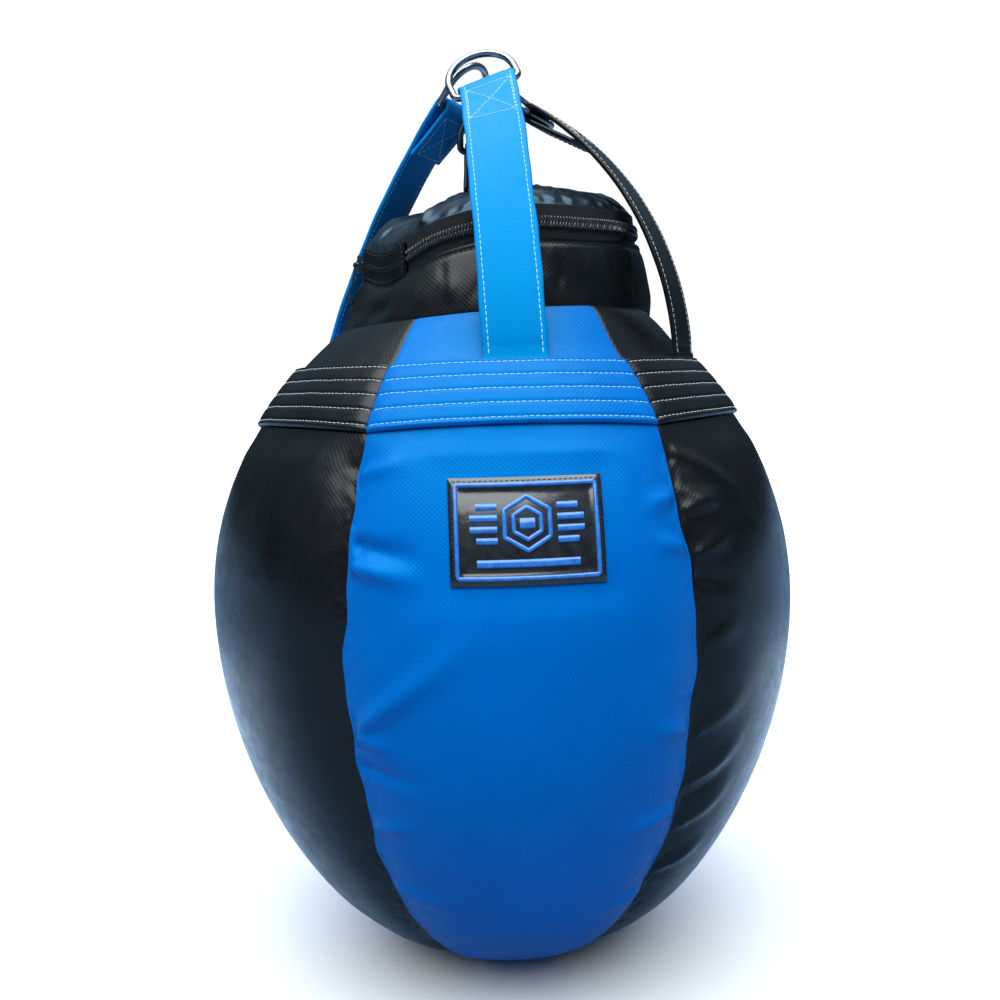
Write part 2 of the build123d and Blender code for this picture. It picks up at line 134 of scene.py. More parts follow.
def sun(name, azimuth, elevation, power, spread, tint=(1, 1, 1)):
    """Soft distant light from an azimuth and elevation in degrees."""
    data = bpy.data.lights.new(name, "SUN")
    data.energy = power
    data.angle = radians(spread)
    data.color = tint
    made = bpy.data.objects.new(name, data)
    flat, turn = cos(radians(elevation)), radians(azimuth)
    toward = Vector((flat * sin(turn), -flat * cos(turn), sin(radians(elevation))))
    made.rotation_euler = toward.to_track_quat("Z", "Y").to_euler()
    bpy.context.collection.objects.link(made)


def studio():
    """White surroundings, a soft key from above the front and a pale floor."""
    world = bpy.data.worlds.new("studio")
    bpy.context.scene.world = world
    world.use_nodes = True
    tree = world.node_tree
    sky = tree.nodes["Background"]
    seen = add(tree, "LightPath").outputs["Is Camera Ray"]
    height = add(tree, "SeparateXYZ", {0: add(tree, "TexCoord").outputs["Generated"]}).outputs[2]
    tree.links.new(blend_colours(tree, seen, SKY_TINT, (1, 1, 1)), sky.inputs["Color"])
    dim = ramp(tree, height, 0.15, 0.95, *SKY_LIGHT)
    tree.links.new(ramp(tree, seen, 0, 1, dim, 1.1), sky.inputs["Strength"])
    sun("key", -14, 70, 6.2, 76, (0.95, 0.99, 1.0))
    bpy.ops.mesh.primitive_plane_add(size=60, location=(0, 0, POLE_LEVEL - FLOOR_DROP))
    floor = bpy.context.object
    floor.name = "floor"
    paint(floor, floor_material())
    bpy.context.scene.view_settings.view_transform = "Standard"
    bpy.context.scene.view_settings.look = "None"


# ---- node materials ----
def add(tree, kind, sockets=None, **settings):
    """Add a shader node; sockets maps inputs to values or to other nodes' outputs."""
    made = tree.nodes.new("ShaderNode" + kind)
    for key, value in settings.items():
        setattr(made, key, value)
    for key, value in (sockets or {}).items():
        if isinstance(value, bpy.types.NodeSocket):
            tree.links.new(value, made.inputs[key])
        else:
            made.inputs[key].default_value = value
    return made


def material(name, **sockets):
    """New material with a Principled shader; sockets sets its constant inputs."""
    made = bpy.data.materials.new(name)
    made.use_nodes = True
    shader = made.node_tree.nodes["Principled BSDF"]
    for key, value in sockets.items():
        shader.inputs[key.replace("_", " ")].default_value = value
    return made, made.node_tree, shader


def math(tree, operation, first, second=0.0, third=0.0):
    return add(tree, "Math", {0: first, 1: second, 2: third}, operation=operation).outputs[0]


def place_in(tree, kind):
    """Coordinates in metres: panel follows the cloth, object is the row frame."""
    if kind == "panel":
        return add(tree, "UVMap", uv_map="panel").outputs["UV"]
    return add(tree, "TexCoord").outputs["Object"]


def noise(tree, coordinates, scale, detail=3.0, roughness=0.55):
    sockets = {"Vector": coordinates, "Scale": scale, "Detail": detail, "Roughness": roughness}
    return add(tree, "TexNoise", sockets).outputs["Fac"]


def ramp(tree, factor, low, high, out_low, out_high):
    sockets = {"Value": factor, 1: low, 2: high, 3: out_low, 4: out_high}
    return add(tree, "MapRange", sockets).outputs[0]


def blend_colours(tree, factor, first, second):
    """Mix of two colours, each three numbers or another node's output."""
    first, second = (c if isinstance(c, bpy.types.NodeSocket) else (*c, 1) for c in (first, second))
    return add(tree, "Mix", {0: factor, 6: first, 7: second}, data_type="RGBA").outputs[2]


def woven(tree, coordinates, pitch):
    """Height of a plain weave, whose threads run diagonally, from 0 to 1."""
    parts = add(tree, "SeparateXYZ", {0: coordinates})
    wave = [math(tree, "SINE", math(tree, "MULTIPLY", parts.outputs[i], TAU / pitch)) for i in (0, 1)]
    product = math(tree, "MULTIPLY", wave[0], wave[1])
    return math(tree, "MULTIPLY_ADD", product, 0.5, 0.5)


def finish_shader(made, colour, roughness, *layers):
    """Link colour and roughness, then chain bumps; each layer is a height and its depth in metres."""
    look, tree, shader = made
    tree.links.new(colour, shader.inputs["Base Color"])
    if roughness:
        tree.links.new(roughness, shader.inputs["Roughness"])
    normal = None
    for height, depth in layers:
        sockets = {"Height": height, "Distance": depth, "Strength": 1.0}
        if normal:
            sockets["Normal"] = normal
        normal = add(tree, "Bump", sockets).outputs["Normal"]
    if normal:
        tree.links.new(normal, shader.inputs["Normal"])
    return look


def vinyl(name, dark, light, roughness, specular, tint=(1, 1, 1, 1), weave=0.10 * MM, ior=1.5):
    """Coated canvas: pressed weave, soft mottling, fine creases and rubbed patches."""
    made = material(name, Specular_IOR_Level=specular, Specular_Tint=tint, IOR=ior)
    tree = made[1]
    solid = place_in(tree, "object")
    mottle, scuff = noise(tree, solid, 9, 3), noise(tree, solid, 75, 5, 0.65)
    stretched = add(tree, "VectorMath", {0: solid, 1: (1, 1, 0.3)}, operation="MULTIPLY").outputs[0]
    crease = noise(tree, stretched, 24, 4, 0.5)
    worn = math(tree, "ADD", ramp(tree, mottle, 0.3, 0.7, -0.05, 0.05), ramp(tree, scuff, 0.35, 0.7, -0.04, 0.09))
    return finish_shader(
        made, blend_colours(tree, ramp(tree, mottle, 0.35, 0.65, 0, 1), dark, light),
        math(tree, "ADD", worn, roughness), (mottle, 0.6 * MM), (crease, 0.15 * MM),
        (woven(tree, place_in(tree, "panel"), 3.6 * MM), weave))


def tape_fabric(name, dark, light, pitch, depth, roughness):
    """Ribbed narrow fabric of the zipper tape, with painted shade in the grooves of its weave."""
    made = material(name, Specular_IOR_Level=0.25)
    tree = made[1]
    weave = woven(tree, place_in(tree, "panel"), pitch)
    fuzz = noise(tree, place_in(tree, "object"), 900, 2)
    # painted shade: the colour follows the weave's height, darker in its grooves and lighter on the raised threads,
    # mixed with random fuzz
    shade = math(tree, "MULTIPLY", weave, ramp(tree, fuzz, 0.3, 0.7, 0.6, 1.1))
    return finish_shader(made, blend_colours(tree, shade, dark, light),
                         ramp(tree, fuzz, 0.3, 0.7, roughness - 0.08, roughness + 0.08),
                         (weave, depth), (fuzz, 0.08 * MM))


def speckled(name, dark, light, scale, roughness, spread, depth, **sockets):
    """Any even material with fine colour, gloss and surface variation."""
    made = material(name, **sockets)
    tree = made[1]
    solid = place_in(tree, "object")
    coarse, fine = noise(tree, solid, scale, 4), noise(tree, solid, scale * 6, 3)
    return finish_shader(made, blend_colours(tree, ramp(tree, coarse, 0.3, 0.7, 0, 1), dark, light),
                         ramp(tree, fine, 0.3, 0.7, roughness - spread, roughness + spread),
                         (coarse, depth), (fine, depth / 4))


def thread(name, dark, light):
    """Twisted sewing thread."""
    made = material(name, Specular_IOR_Level=0.3)
    tree = made[1]
    fibre = noise(tree, place_in(tree, "object"), 1500, 2)
    return finish_shader(made, blend_colours(tree, ramp(tree, fibre, 0.3, 0.7, 0, 1), dark, light),
                         ramp(tree, fibre, 0.3, 0.7, 0.5, 0.75), (fibre, 0.1 * MM))


def plated_wire(name, dark, light):
    """Nickel-plated wire: fine grain, dull patches and rubbed spots."""
    made = material(name, Metallic=1.0)
    tree = made[1]
    solid = place_in(tree, "object")
    cloud, grain = noise(tree, solid, 60, 4), noise(tree, solid, 700, 3, 0.7)
    rough = math(tree, "ADD", ramp(tree, cloud, 0.3, 0.7, 0.14, 0.34), ramp(tree, grain, 0.45, 0.75, 0, 0.12))
    return finish_shader(made, blend_colours(tree, cloud, dark, light), rough,
                         (cloud, 0.25 * MM), (grain, 0.03 * MM))


def floor_material():
    """Pale floor that throws back less light than it shows in front, so the underside stays dark."""
    made = material("floor", Roughness=0.7)
    tree = made[1]
    solid = place_in(tree, "object")
    behind = ramp(tree, add(tree, "SeparateXYZ", {0: solid}).outputs[1], -0.15, 0.15, 0, 1)
    away = add(tree, "VectorMath", {0: solid}, operation="LENGTH").outputs["Value"]
    behind = math(tree, "MULTIPLY", behind, ramp(tree, away, 0.8, 1.5, 1, 0.1))
    thrown = blend_colours(tree, behind, (0.10, 0.20, 0.34), (0.52, 0.70, 0.95))
    pale = blend_colours(tree, noise(tree, solid, 3, 4), (0.78, 0.78, 0.79), (0.86, 0.86, 0.87))
    seen = add(tree, "LightPath").outputs["Is Camera Ray"]
    return finish_shader(made, blend_colours(tree, seen, thrown, pale), None)


def rag(name):
    """Packed rag: a different dull colour for each patch of cloth."""
    made = material(name, Roughness=0.9, Specular_IOR_Level=0.15)
    tree = made[1]
    solid = place_in(tree, "object")
    drift = add(tree, "TexNoise", {"Vector": solid, "Scale": 40.0}).outputs["Color"]
    wobble = add(tree, "VectorMath", {0: solid, 1: drift}).outputs[0]
    patches = add(tree, "TexVoronoi", {"Vector": wobble, "Scale": 26.0}).outputs["Color"]
    tone = add(tree, "HueSaturation", {"Color": patches, "Saturation": 0.35, "Value": 0.32}).outputs["Color"]
    lumps, fuzz = noise(tree, solid, 60, 5), noise(tree, solid, 400, 4)
    return finish_shader(made, tone, None, (lumps, 3 * MM), (fuzz, 0.4 * MM))


BLUE, BLACK = "blue", "black"
THREADS = {BLUE: "thread_pale", BLACK: "thread_grey"}
GLINT = (0.0, 0.90, 0.85, 1)            # cyan tint painted into the blue vinyl's reflections
# the lid's copy of the black vinyl has a bluish base and blue-tinted gloss: painted blue reflections
LID_GLINT = (0.30, 0.70, 1.0, 1)
BLUE_IOR = 1.36
# name: kind, darker and lighter colour, and what else that kind takes
LOOKS = {
    "blue_vinyl": (vinyl, (0, 0.103, 0.385), (0, 0.118, 0.435), 0.38, 0.42, GLINT, 0.10 * MM, BLUE_IOR),
    # the straps' blue look is the blue vinyl painted lighter, standing in for the light from above that falls on
    # the straps
    "strap_blue_painted_lighter": (vinyl, (0, 0.185, 0.470), (0, 0.210, 0.530), 0.42, 0.40, GLINT, 0.05 * MM, BLUE_IOR),
    "black_vinyl": (vinyl, (0.0030, 0.0032, 0.0034), (0.0060, 0.0062, 0.0066), 0.28, 0.26, (1, 1, 1, 1), 0.06 * MM),
    "lid_vinyl_painted_blue_reflection": (vinyl, (0.0030, 0.0036, 0.0044), (0.0060, 0.0070, 0.0086), 0.30, 0.55, LID_GLINT, 0.05 * MM),
    "thread_pale": (thread, (0.28, 0.60, 0.76), (0.48, 0.78, 0.90)),
    "thread_grey": (thread, (0.36, 0.36, 0.36), (0.62, 0.62, 0.60)),
    "thread_dark": (thread, (0.01, 0.01, 0.012), (0.03, 0.03, 0.034)),
    "zip_tape": (tape_fabric, (0.006, 0.006, 0.006), (0.022, 0.021, 0.020), 1.0 * MM, 0.2 * MM, 0.8),
    "zip_coil": (speckled, (0.020, 0.020, 0.021), (0.060, 0.060, 0.062), 300, 0.28, 0.06, 0.05 * MM),
    "zip_metal": (speckled, (0.010, 0.010, 0.011), (0.035, 0.034, 0.034), 400, 0.30, 0.08, 0.05 * MM),
    "badge_rubber": (speckled, (0.006, 0.006, 0.007), (0.020, 0.020, 0.022), 120, 0.16, 0.05, 0.15 * MM),
    "badge_blue": (speckled, (0.010, 0.110, 0.400), (0.030, 0.190, 0.560), 160, 0.20, 0.06, 0.12 * MM),
    "lining": (speckled, (0.42, 0.42, 0.40), (0.55, 0.55, 0.52), 500, 0.8, 0.1, 0.2 * MM),
    "foam": (speckled, (0.10, 0.10, 0.11), (0.20, 0.20, 0.21), 700, 0.9, 0.05, 0.5 * MM),
    "textile_scrap": (rag,),
    "plated_steel": (plated_wire, (0.16, 0.17, 0.19), (0.34, 0.35, 0.37)),
}
COATS = {"badge_rubber": {"Coat_Weight": 0.5, "Coat_Roughness": 0.1},
         "badge_blue": {"Coat_Weight": 0.4, "Coat_Roughness": 0.12}}
MATERIALS = {name: kind(name, *values, **COATS.get(name, {})) for name, (kind, *values) in LOOKS.items()}


def paint(obj, made):
    obj.data.materials.clear()
    obj.data.materials.append(made)


def finish_piece(obj, slot_name, body, replaced=(), look=None):
    """Give a piece the material of its look, or else of its slot name, attach it to its body and hide the CAD nodes
    it stands for.
    """
    paint(obj, MATERIALS[look or slot_name])
    if body:
        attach(obj, body)
    if replaced:
        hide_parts(*replaced)
    return obj


# ---- mesh helpers ----
def mesh_object(name, points, faces, panel=None):
    """Smooth-shaded mesh object; panel gives each point's place on the cloth, in metres."""
    mesh = bpy.data.meshes.new(name)
    mesh.from_pydata(np.asarray(points, float).reshape(-1, 3).tolist(), [], [list(map(int, f)) for f in faces])
    if panel is not None:
        layer = mesh.uv_layers.new(name="panel")
        corners = np.empty(len(mesh.loops), int)
        mesh.loops.foreach_get("vertex_index", corners)
        layer.data.foreach_set("uv", np.asarray(panel, float).reshape(-1, 2)[corners].ravel())
    mesh.shade_smooth()
    mesh.set_sharp_from_angle(angle=radians(55))
    mesh.validate()
    made = bpy.data.objects.new(name, mesh)
    bpy.context.collection.objects.link(made)
    return made


def unit(vectors):
    return vectors / np.maximum(np.linalg.norm(vectors, axis=-1, keepdims=True), 1e-12)


def grid_normals(points, ring):
    """Unit normals of a grid of points; a ring closes on itself along its first axis."""
    if ring:
        wide = np.concatenate([points[-1:], points, points[:1]])
        along = wide[2:] - wide[:-2]
    else:
        along = np.gradient(points, axis=0)
    return unit(np.cross(along, np.gradient(points, axis=1)))


def grid_faces(rows, columns, ring, offset=0, flip=False):
    index = np.arange(rows * columns).reshape(rows, columns) + offset
    if ring:
        index = np.concatenate([index, index[:1]])
    quads = np.stack([index[:-1, :-1], index[1:, :-1], index[1:, 1:], index[:-1, 1:]], -1).reshape(-1, 4)
    return quads[:, ::-1] if flip else quads


def shell(name, points, thickness, panel, ring=False):
    """Closed sheet of a given thickness below a grid of points, with flat walls round its rims."""
    normals = grid_normals(points, ring)
    rows, columns = points.shape[:2]
    inner = points - normals * thickness
    count = rows * columns
    faces = [grid_faces(rows, columns, ring), grid_faces(rows, columns, ring, count, True)]
    index = np.arange(count).reshape(rows, columns)
    borders = [index[:, 0][::-1], index[:, -1]]
    if not ring:
        borders += [index[0, :], index[-1, :][::-1]]
    for border in borders:
        if ring:
            border = np.append(border, border[0])
        faces.append(np.stack([border[:-1], border[1:], border[1:] + count, border[:-1] + count], -1)[:, ::-1])
    return mesh_object(name, np.concatenate([points.reshape(-1, 3), inner.reshape(-1, 3)]),
                       np.concatenate(faces), np.concatenate([panel.reshape(-1, 2)] * 2))


def refined(grid):
    """Put a smooth extra point between each two points, along both axes."""
    for axis in (0, 1):
        grid = np.moveaxis(grid, axis, 0)
        wide = np.concatenate([2 * grid[:1] - grid[1:2], grid, 2 * grid[-1:] - grid[-2:-1]])
        middle = (9 * (wide[1:-2] + wide[2:-1]) - wide[:-3] - wide[3:]) / 16
        pairs = np.stack([grid[:-1], middle], 1).reshape(-1, *grid.shape[1:])
        grid = np.moveaxis(np.concatenate([pairs, grid[-1:]]), 0, axis)
    return grid


def tube_faces(rows, columns):
    """Faces of a capped tube whose points are rows of rings."""
    index = np.arange(rows * columns).reshape(rows, columns)
    around = np.concatenate([index, index[:, :1]], 1)
    quads = np.stack([around[:-1, :-1], around[:-1, 1:], around[1:, 1:], around[1:, :-1]], -1)
    return quads.reshape(-1, 4).tolist() + [index[0, ::-1].tolist(), index[-1].tolist()]


def lengths_along(points):
    """Distance of each point along a line, from its first."""
    return np.concatenate([[0], np.cumsum(np.linalg.norm(np.diff(points, axis=0), axis=1))])


def tube(name, path, radius, sides):
    """Round wire along a path, with frames carried along it and capped ends."""
    count = len(path)
    tangent = unit(np.gradient(path, axis=0))
    side = np.empty_like(path)
    side[0] = unit(np.cross(tangent[0], [0.31, 0.22, 0.93]))
    for i in range(1, count):
        carried = side[i - 1] - tangent[i] * np.dot(side[i - 1], tangent[i])
        side[i] = carried / np.linalg.norm(carried)
    across = np.cross(tangent, side)
    angles = np.arange(sides) * TAU / sides
    rings = path[:, None] + radius * (
        side[:, None] * np.cos(angles)[None, :, None] + across[:, None] * np.sin(angles)[None, :, None])
    return mesh_object(name, rings, tube_faces(count, sides))


def joined(name, objects):
    """Merge several mesh objects into one under a new name."""
    with bpy.context.temp_override(active_object=objects[0], selected_editable_objects=objects):
        bpy.ops.object.join()
    objects[0].name = name
    objects[0].data.name = name
    return objects[0]


# ---- the bag's outer surface ----
SIDE_RADIUS = (BAG_RADIUS**2 + (BELLY_DEPTH - POLE_ROUND)**2 - POLE_ROUND**2) / (2 * (BAG_RADIUS - POLE_ROUND))
MEETING = -atan2(BELLY_DEPTH - POLE_ROUND, SIDE_RADIUS - BAG_RADIUS)    # where sphere and side arc meet
POLE_ANGLE = radians(-88)


def skin(azimuth, angle, out=0.0):
    """Point on the shell, where angle is the slope of its outward normal above the horizon."""
    azimuth, angle, out = np.broadcast_arrays(azimuth, angle, out)
    low, side = angle < MEETING, angle < 0
    centre_radius = np.where(low, 0, np.where(side, BAG_RADIUS - SIDE_RADIUS, BAG_RADIUS - SHOULDER_RADIUS))
    centre_level = np.where(low, POLE_ROUND - BELLY_DEPTH, 0)
    reach = np.where(low, POLE_ROUND, np.where(side, SIDE_RADIUS, SHOULDER_RADIUS)) + out
    radius = centre_radius + reach * np.cos(angle)
    return polar(radius, azimuth, centre_level + reach * np.sin(angle))


def polar(radius, azimuth, level):
    radius, azimuth, level = np.broadcast_arrays(radius, azimuth, level)
    return np.stack([radius * np.sin(azimuth), -radius * np.cos(azimuth), level + EQUATOR], -1)


def leaning(radius, azimuth, level):
    """Point on the neck's rim, zipper or lid, which lean and are shifted as a whole."""
    ride = CHAIN_HUMP[0] * around_at(azimuth, *CHAIN_HUMP[1:]) - CHAIN_DIP[0] * around_at(azimuth, *CHAIN_DIP[1:])
    level = level + ride * smooth(radius, 0.03, 0.11)
    x, y, z = np.moveaxis(polar(radius, azimuth, level), -1, 0)
    rise = z - EQUATOR - CHAIN_LEVEL
    c, s = cos(NECK_TILT), sin(NECK_TILT)
    return np.stack([x * c - rise * s + NECK_SHIFT, y, x * s + rise * c + EQUATOR + CHAIN_LEVEL], -1)


def around_at(azimuth, middle, width):
    """Bell round the axis, centred on an azimuth."""
    return bell(np.angle(np.exp(1j * (np.asarray(azimuth) - middle))), 0, width)


def skin_normal(azimuth, angle):
    azimuth, angle = np.broadcast_arrays(azimuth, angle)
    flat = np.cos(angle)
    return np.stack([flat * np.sin(azimuth), -flat * np.cos(azimuth), np.sin(angle)], -1)


def shoulder_angle(level):
    return np.arcsin(np.asarray(level) / SHOULDER_RADIUS)


def arc_length(angles):
    """Distance along the outline for each angle, from the first."""
    return lengths_along(skin(0.0, np.asarray(angles)))


def even_angles(low, high, count):
    """Angles evenly spaced along the outline."""
    fine = np.linspace(low, high, 2000)
    length = arc_length(fine)
    return np.interp(np.linspace(0, length[-1], count), length, fine)


def smooth(value, low, high):
    """0 below low, 1 above high, eased between."""
    share = np.clip((value - low) / (high - low), 0, 1)
    return share * share * (3 - 2 * share)


def bell(value, middle, width):
    return np.exp(-((value - middle) / width) ** 2)


# ---- cloth simulation ----
CLOTH = {
    "quality": 5, "mass": 0.25, "tension_stiffness": 30, "compression_stiffness": 30, "shear_stiffness": 12,
    "bending_stiffness": 0.6, "tension_damping": 10, "compression_damping": 10, "air_damping": 4,
    "vertex_group_mass": "pin", "vertex_group_shrink": "slack", "shrink_min": 0, "shrink_max": -0.05,
    "use_pressure": True, "uniform_pressure_force": 6.0,
}
CLOTH_FRAMES = 22


def settle(points, pinned, slack):
    """Blow up a grid of points as one sheet of vinyl and return where it settles."""
    rows, columns = points.shape[:2]
    draft = mesh_object("draft", points, grid_faces(rows, columns, False))
    for name, weights in (("pin", pinned), ("slack", slack)):
        group = draft.vertex_groups.new(name=name)
        for index, weight in enumerate(np.asarray(weights).ravel()):
            if weight > 0.001:
                group.add([index], float(weight), "REPLACE")
    modifier = draft.modifiers.new("cloth", "CLOTH")
    for key, value in CLOTH.items():
        setattr(modifier.settings, key, value)
    modifier.settings.effector_weights.gravity = 0
    modifier.collision_settings.use_collision = False
    modifier.point_cache.frame_start, modifier.point_cache.frame_end = 1, CLOTH_FRAMES
    scene = bpy.context.scene
    for number in range(1, CLOTH_FRAMES + 1):
        scene.frame_set(number)
    settled = draft.evaluated_get(bpy.context.evaluated_depsgraph_get()).to_mesh()
    result = np.empty(rows * columns * 3)
    settled.vertices.foreach_get("co", result)
    scene.frame_set(1)
    mesh = draft.data
    bpy.data.objects.remove(draft)
    bpy.data.meshes.remove(mesh)
    return result.reshape(points.shape)


# ---- gores ----
SEAM_DEPTH = 4.5 * MM                   # how deep the seams lie below the fullest part
FULLNESS = 2.5 * MM                     # how far the filling swells a gore
GORE_COLUMNS = 41
GORE_ROWS = 171
FOLD_GAIN = 1.9
SEAM_SLACK_WIDTH = 0.16                 # share of a gore's half width that is gathered at the seam
# folds that run from a seam into a gore: seam azimuth in degrees, side, level, run, drop, width, height, all mm
FOLDS = (
    (-30, 1, 78, 62, -12, 8, -2.4), (-30, 1, 62, 66, -10, 9, 2.6), (-30, 1, -58, 105, 78, 13, 2.2),
    (-30, 1, -60, 42, -4, 8, 2.0), (-30, 1, -82, 60, -8, 8, -1.6), (-30, 1, -135, 50, 12, 9, 1.6),
    (-30, 1, -190, 60, -12, 10, 1.6), (-30, 1, 122, 45, 14, 9, 1.4),
    (-30, -1, 66, 55, -22, 8, 2.6), (-30, -1, 50, 40, 6, 7, -2.2), (-30, -1, -30, 60, -60, 9, 1.8),
    (-30, -1, -64, 60, -10, 8, 2.6), (-30, -1, -80, 40, -22, 8, -2.0), (-30, -1, -150, 60, 22, 10, 2.0),
    (-30, -1, -212, 55, 20, 9, 2.0), (-30, -1, 136, 130, -96, 7, 3.0), (-30, -1, 124, 120, -104, 6, -2.4),
    (-30, -1, 112, 110, -100, 7, 2.6), (-30, -1, 96, 60, -70, 6, -1.8),
    (30, -1, 104, 40, -10, 8, 1.8), (30, -1, 66, 40, 8, 8, 1.8), (30, -1, -66, 46, 8, 9, 1.5),
    (30, -1, -130, 60, -10, 10, 1.7), (30, -1, -205, 50, -12, 9, 1.5),
    (30, 1, 108, 40, -22, 8, 1.0), (30, 1, 92, 50, 10, 9, 1.5), (30, 1, 58, 46, 16, 9, 1.3),
    (30, 1, 46, 45, -12, 8, -1.3), (30, 1, -8, 50, 18, 10, 1.0), (30, 1, -70, 60, 24, 11, 1.4),
    (30, 1, -112, 64, 30, 10, 1.8), (30, 1, -128, 50, 22, 8, -1.2), (30, 1, -150, 60, 30, 10, 1.5),
    (30, 1, -190, 50, 24, 9, 1.5), (30, 1, 138, 90, -62, 9, 1.6),
)


def seam_wander(side, angle):
    """Sideways wander of a seam, in metres along the equator; seams are numbered by azimuth."""
    length = np.interp(angle, SEAM_ANGLES, SEAM_LENGTHS)
    phase = 1.7 * side
    wander = 1.6 * np.sin(length * 41 + phase) + 1.1 * np.sin(length * 83 + 2.3 * phase)
    wander += 0.7 * np.sin(length * 151 + 4.1 * phase)
    calm = smooth(length, 0.04, 0.14) * (1 - smooth(angle, BAND_LOW - 0.12, BAND_LOW - 0.02))
    return wander * MM * calm


SEAM_ANGLES = np.linspace(POLE_ANGLE, NECK_ANGLE, 600)
SEAM_LENGTHS = arc_length(SEAM_ANGLES)


def gore_frame():
    """Shares across a gore, angles up it, and distances from its seams, as grids."""
    even = np.linspace(-1, 1, GORE_COLUMNS)
    across = np.sin(even * pi / 2 * 0.86) / sin(pi / 2 * 0.86)
    angles = even_angles(POLE_ANGLE, NECK_ANGLE, GORE_ROWS)
    return np.meshgrid(across, angles, indexing="ij")


def gore_azimuth(number, across, angle):
    """Azimuth on a gore; both its edges follow the wander of their seams."""
    middle = number * SPAN
    left = seam_wander(number, angle) / BAG_RADIUS
    right = seam_wander((number + 1) % GORES, angle) / BAG_RADIUS
    drift = left * (1 - across) / 2 + right * (1 + across) / 2
    return middle + across * SPAN / 2 + drift


def quiet_zone(azimuth, angle):
    """1 where band, badge or neck hold the vinyl at its true surface, 0 elsewhere."""
    band = smooth(angle, BAND_LOW - 0.10, BAND_LOW - 0.01)
    level = SHOULDER_RADIUS * np.sin(angle)
    wide = np.abs(BAG_RADIUS * np.sin(azimuth) * np.cos(angle) - BADGE_SHIFT)
    badge = (1 - smooth(wide, 0.052, 0.080)) * (1 - smooth(np.abs(level - 0.085), 0.036, 0.060))
    badge = badge * (np.cos(azimuth) > 0.5)
    return np.maximum(band, badge)


def fold_height(azimuth, angle):
    """Height of the long folds that run out of the two front seams."""
    length = np.interp(angle, SEAM_ANGLES, SEAM_LENGTHS)
    radius = np.maximum(np.hypot(*np.moveaxis(skin(0.0, angle), -1, 0)[:2]), 0.02)
    height = np.zeros(azimuth.shape)
    for seam, side, level, run, drop, width, tall in FOLDS:
        home = np.interp(level * MM, LEVELS, SEAM_LENGTHS)
        out = (azimuth - radians(seam)) * side * radius / (run * MM)
        path = home + drop * MM * np.clip(out, 0, 1.2)
        spread = width * MM * (0.55 + 0.5 * np.clip(out, 0, 1))
        fade = np.where(out > 0, smooth(out, -0.02, 0.10) * (1 - smooth(out, 0.35, 1.05)), 0)
        height += FOLD_GAIN * tall * MM * fade * bell(length, path, spread)
    return height


LEVELS = skin(0.0, SEAM_ANGLES)[:, 2] - EQUATOR


def softened(grid, weight, times=3):
    """Even out the noise of a simulated grid where weight is 1."""
    for _ in range(times):
        wide = np.pad(grid, ((1, 1), (1, 1), (0, 0)), "edge")
        rows = (wide[:-2] + 2 * wide[1:-1] + wide[2:]) / 4
        even = (rows[:, :-2] + 2 * rows[:, 1:-1] + rows[:, 2:]) / 4
        grid = grid + (even - grid) * weight[..., None]
    return grid


def crown_rise(azimuth, angle):
    """The filling pushes the tops of the gores up at the front right."""
    return CROWN_RISE[0] * around_at(azimuth, *CROWN_RISE[1:]) * smooth(angle, radians(45), NECK_ANGLE)


def gore(number, colour):
    across, angle = gore_frame()
    azimuth = gore_azimuth(number, across, angle)
    pole_calm = smooth(angle, POLE_ANGLE + 0.1, POLE_ANGLE + 0.7)
    edge = np.abs(across)
    recess = -SEAM_DEPTH * smooth(edge, 0.70, 1.0) ** 1.5 * pole_calm
    draw = np.random.default_rng(40 + number)
    start = skin(azimuth, angle, recess - 1.0 * MM * (1 - edge))
    normal = skin_normal(azimuth, angle)
    jitter = draw.normal(0, 0.25 * MM, across.shape)
    pinned = np.zeros(across.shape)
    pinned[[0, -1], :] = pinned[:, :3] = pinned[:, -2:] = 1
    slack = smooth(edge, 1 - 2.2 * SEAM_SLACK_WIDTH, 1 - 0.4 * SEAM_SLACK_WIDTH) * pole_calm
    shape = settle(start + normal * (jitter * (1 - pinned))[..., None], pinned, slack)
    moved = softened(shape - skin(azimuth, angle), smooth(edge, 0.97, 0.80))
    lift = np.clip(np.sum(moved * normal, -1) + FULLNESS * (1 - edge ** 4) * pole_calm, -7 * MM, 5 * MM)
    slow = sum(np.sin(azimuth * k + number) * np.sin(angle * m + 2 * number) for k, m in ((5, 7), (9, 4)))
    lift = lift + (0.5 * MM * slow + fold_height(azimuth, angle)) * (1 - smooth(edge, 0.93, 1.0)) * pole_calm
    quiet = quiet_zone(azimuth, angle)
    shallow = -0.5 * MM * smooth(edge, 0.97, 1.0)
    lift = lift * (1 - quiet) + np.minimum(shallow, 0) * quiet
    points = skin(azimuth, angle, lift)
    points[..., 2] += crown_rise(azimuth, angle)
    points = refined(points)
    radius = np.hypot(*np.moveaxis(skin(0.0, angle), -1, 0)[:2])
    panel = np.stack([across * SPAN / 2 * radius, np.interp(angle, SEAM_ANGLES, SEAM_LENGTHS)], -1)
    name = f"gore_{number + 1}_{colour}"
    made = shell(name + "_panel", points, VINYL, refined(panel))
    finish_piece(made, f"{colour}_vinyl", "bag", [name])


# ---- stitching ----
def along(where, length, values):
    """Values of a line of points or directions at distances along it."""
    return np.stack([np.interp(where, length, values[:, i]) for i in range(3)], -1)


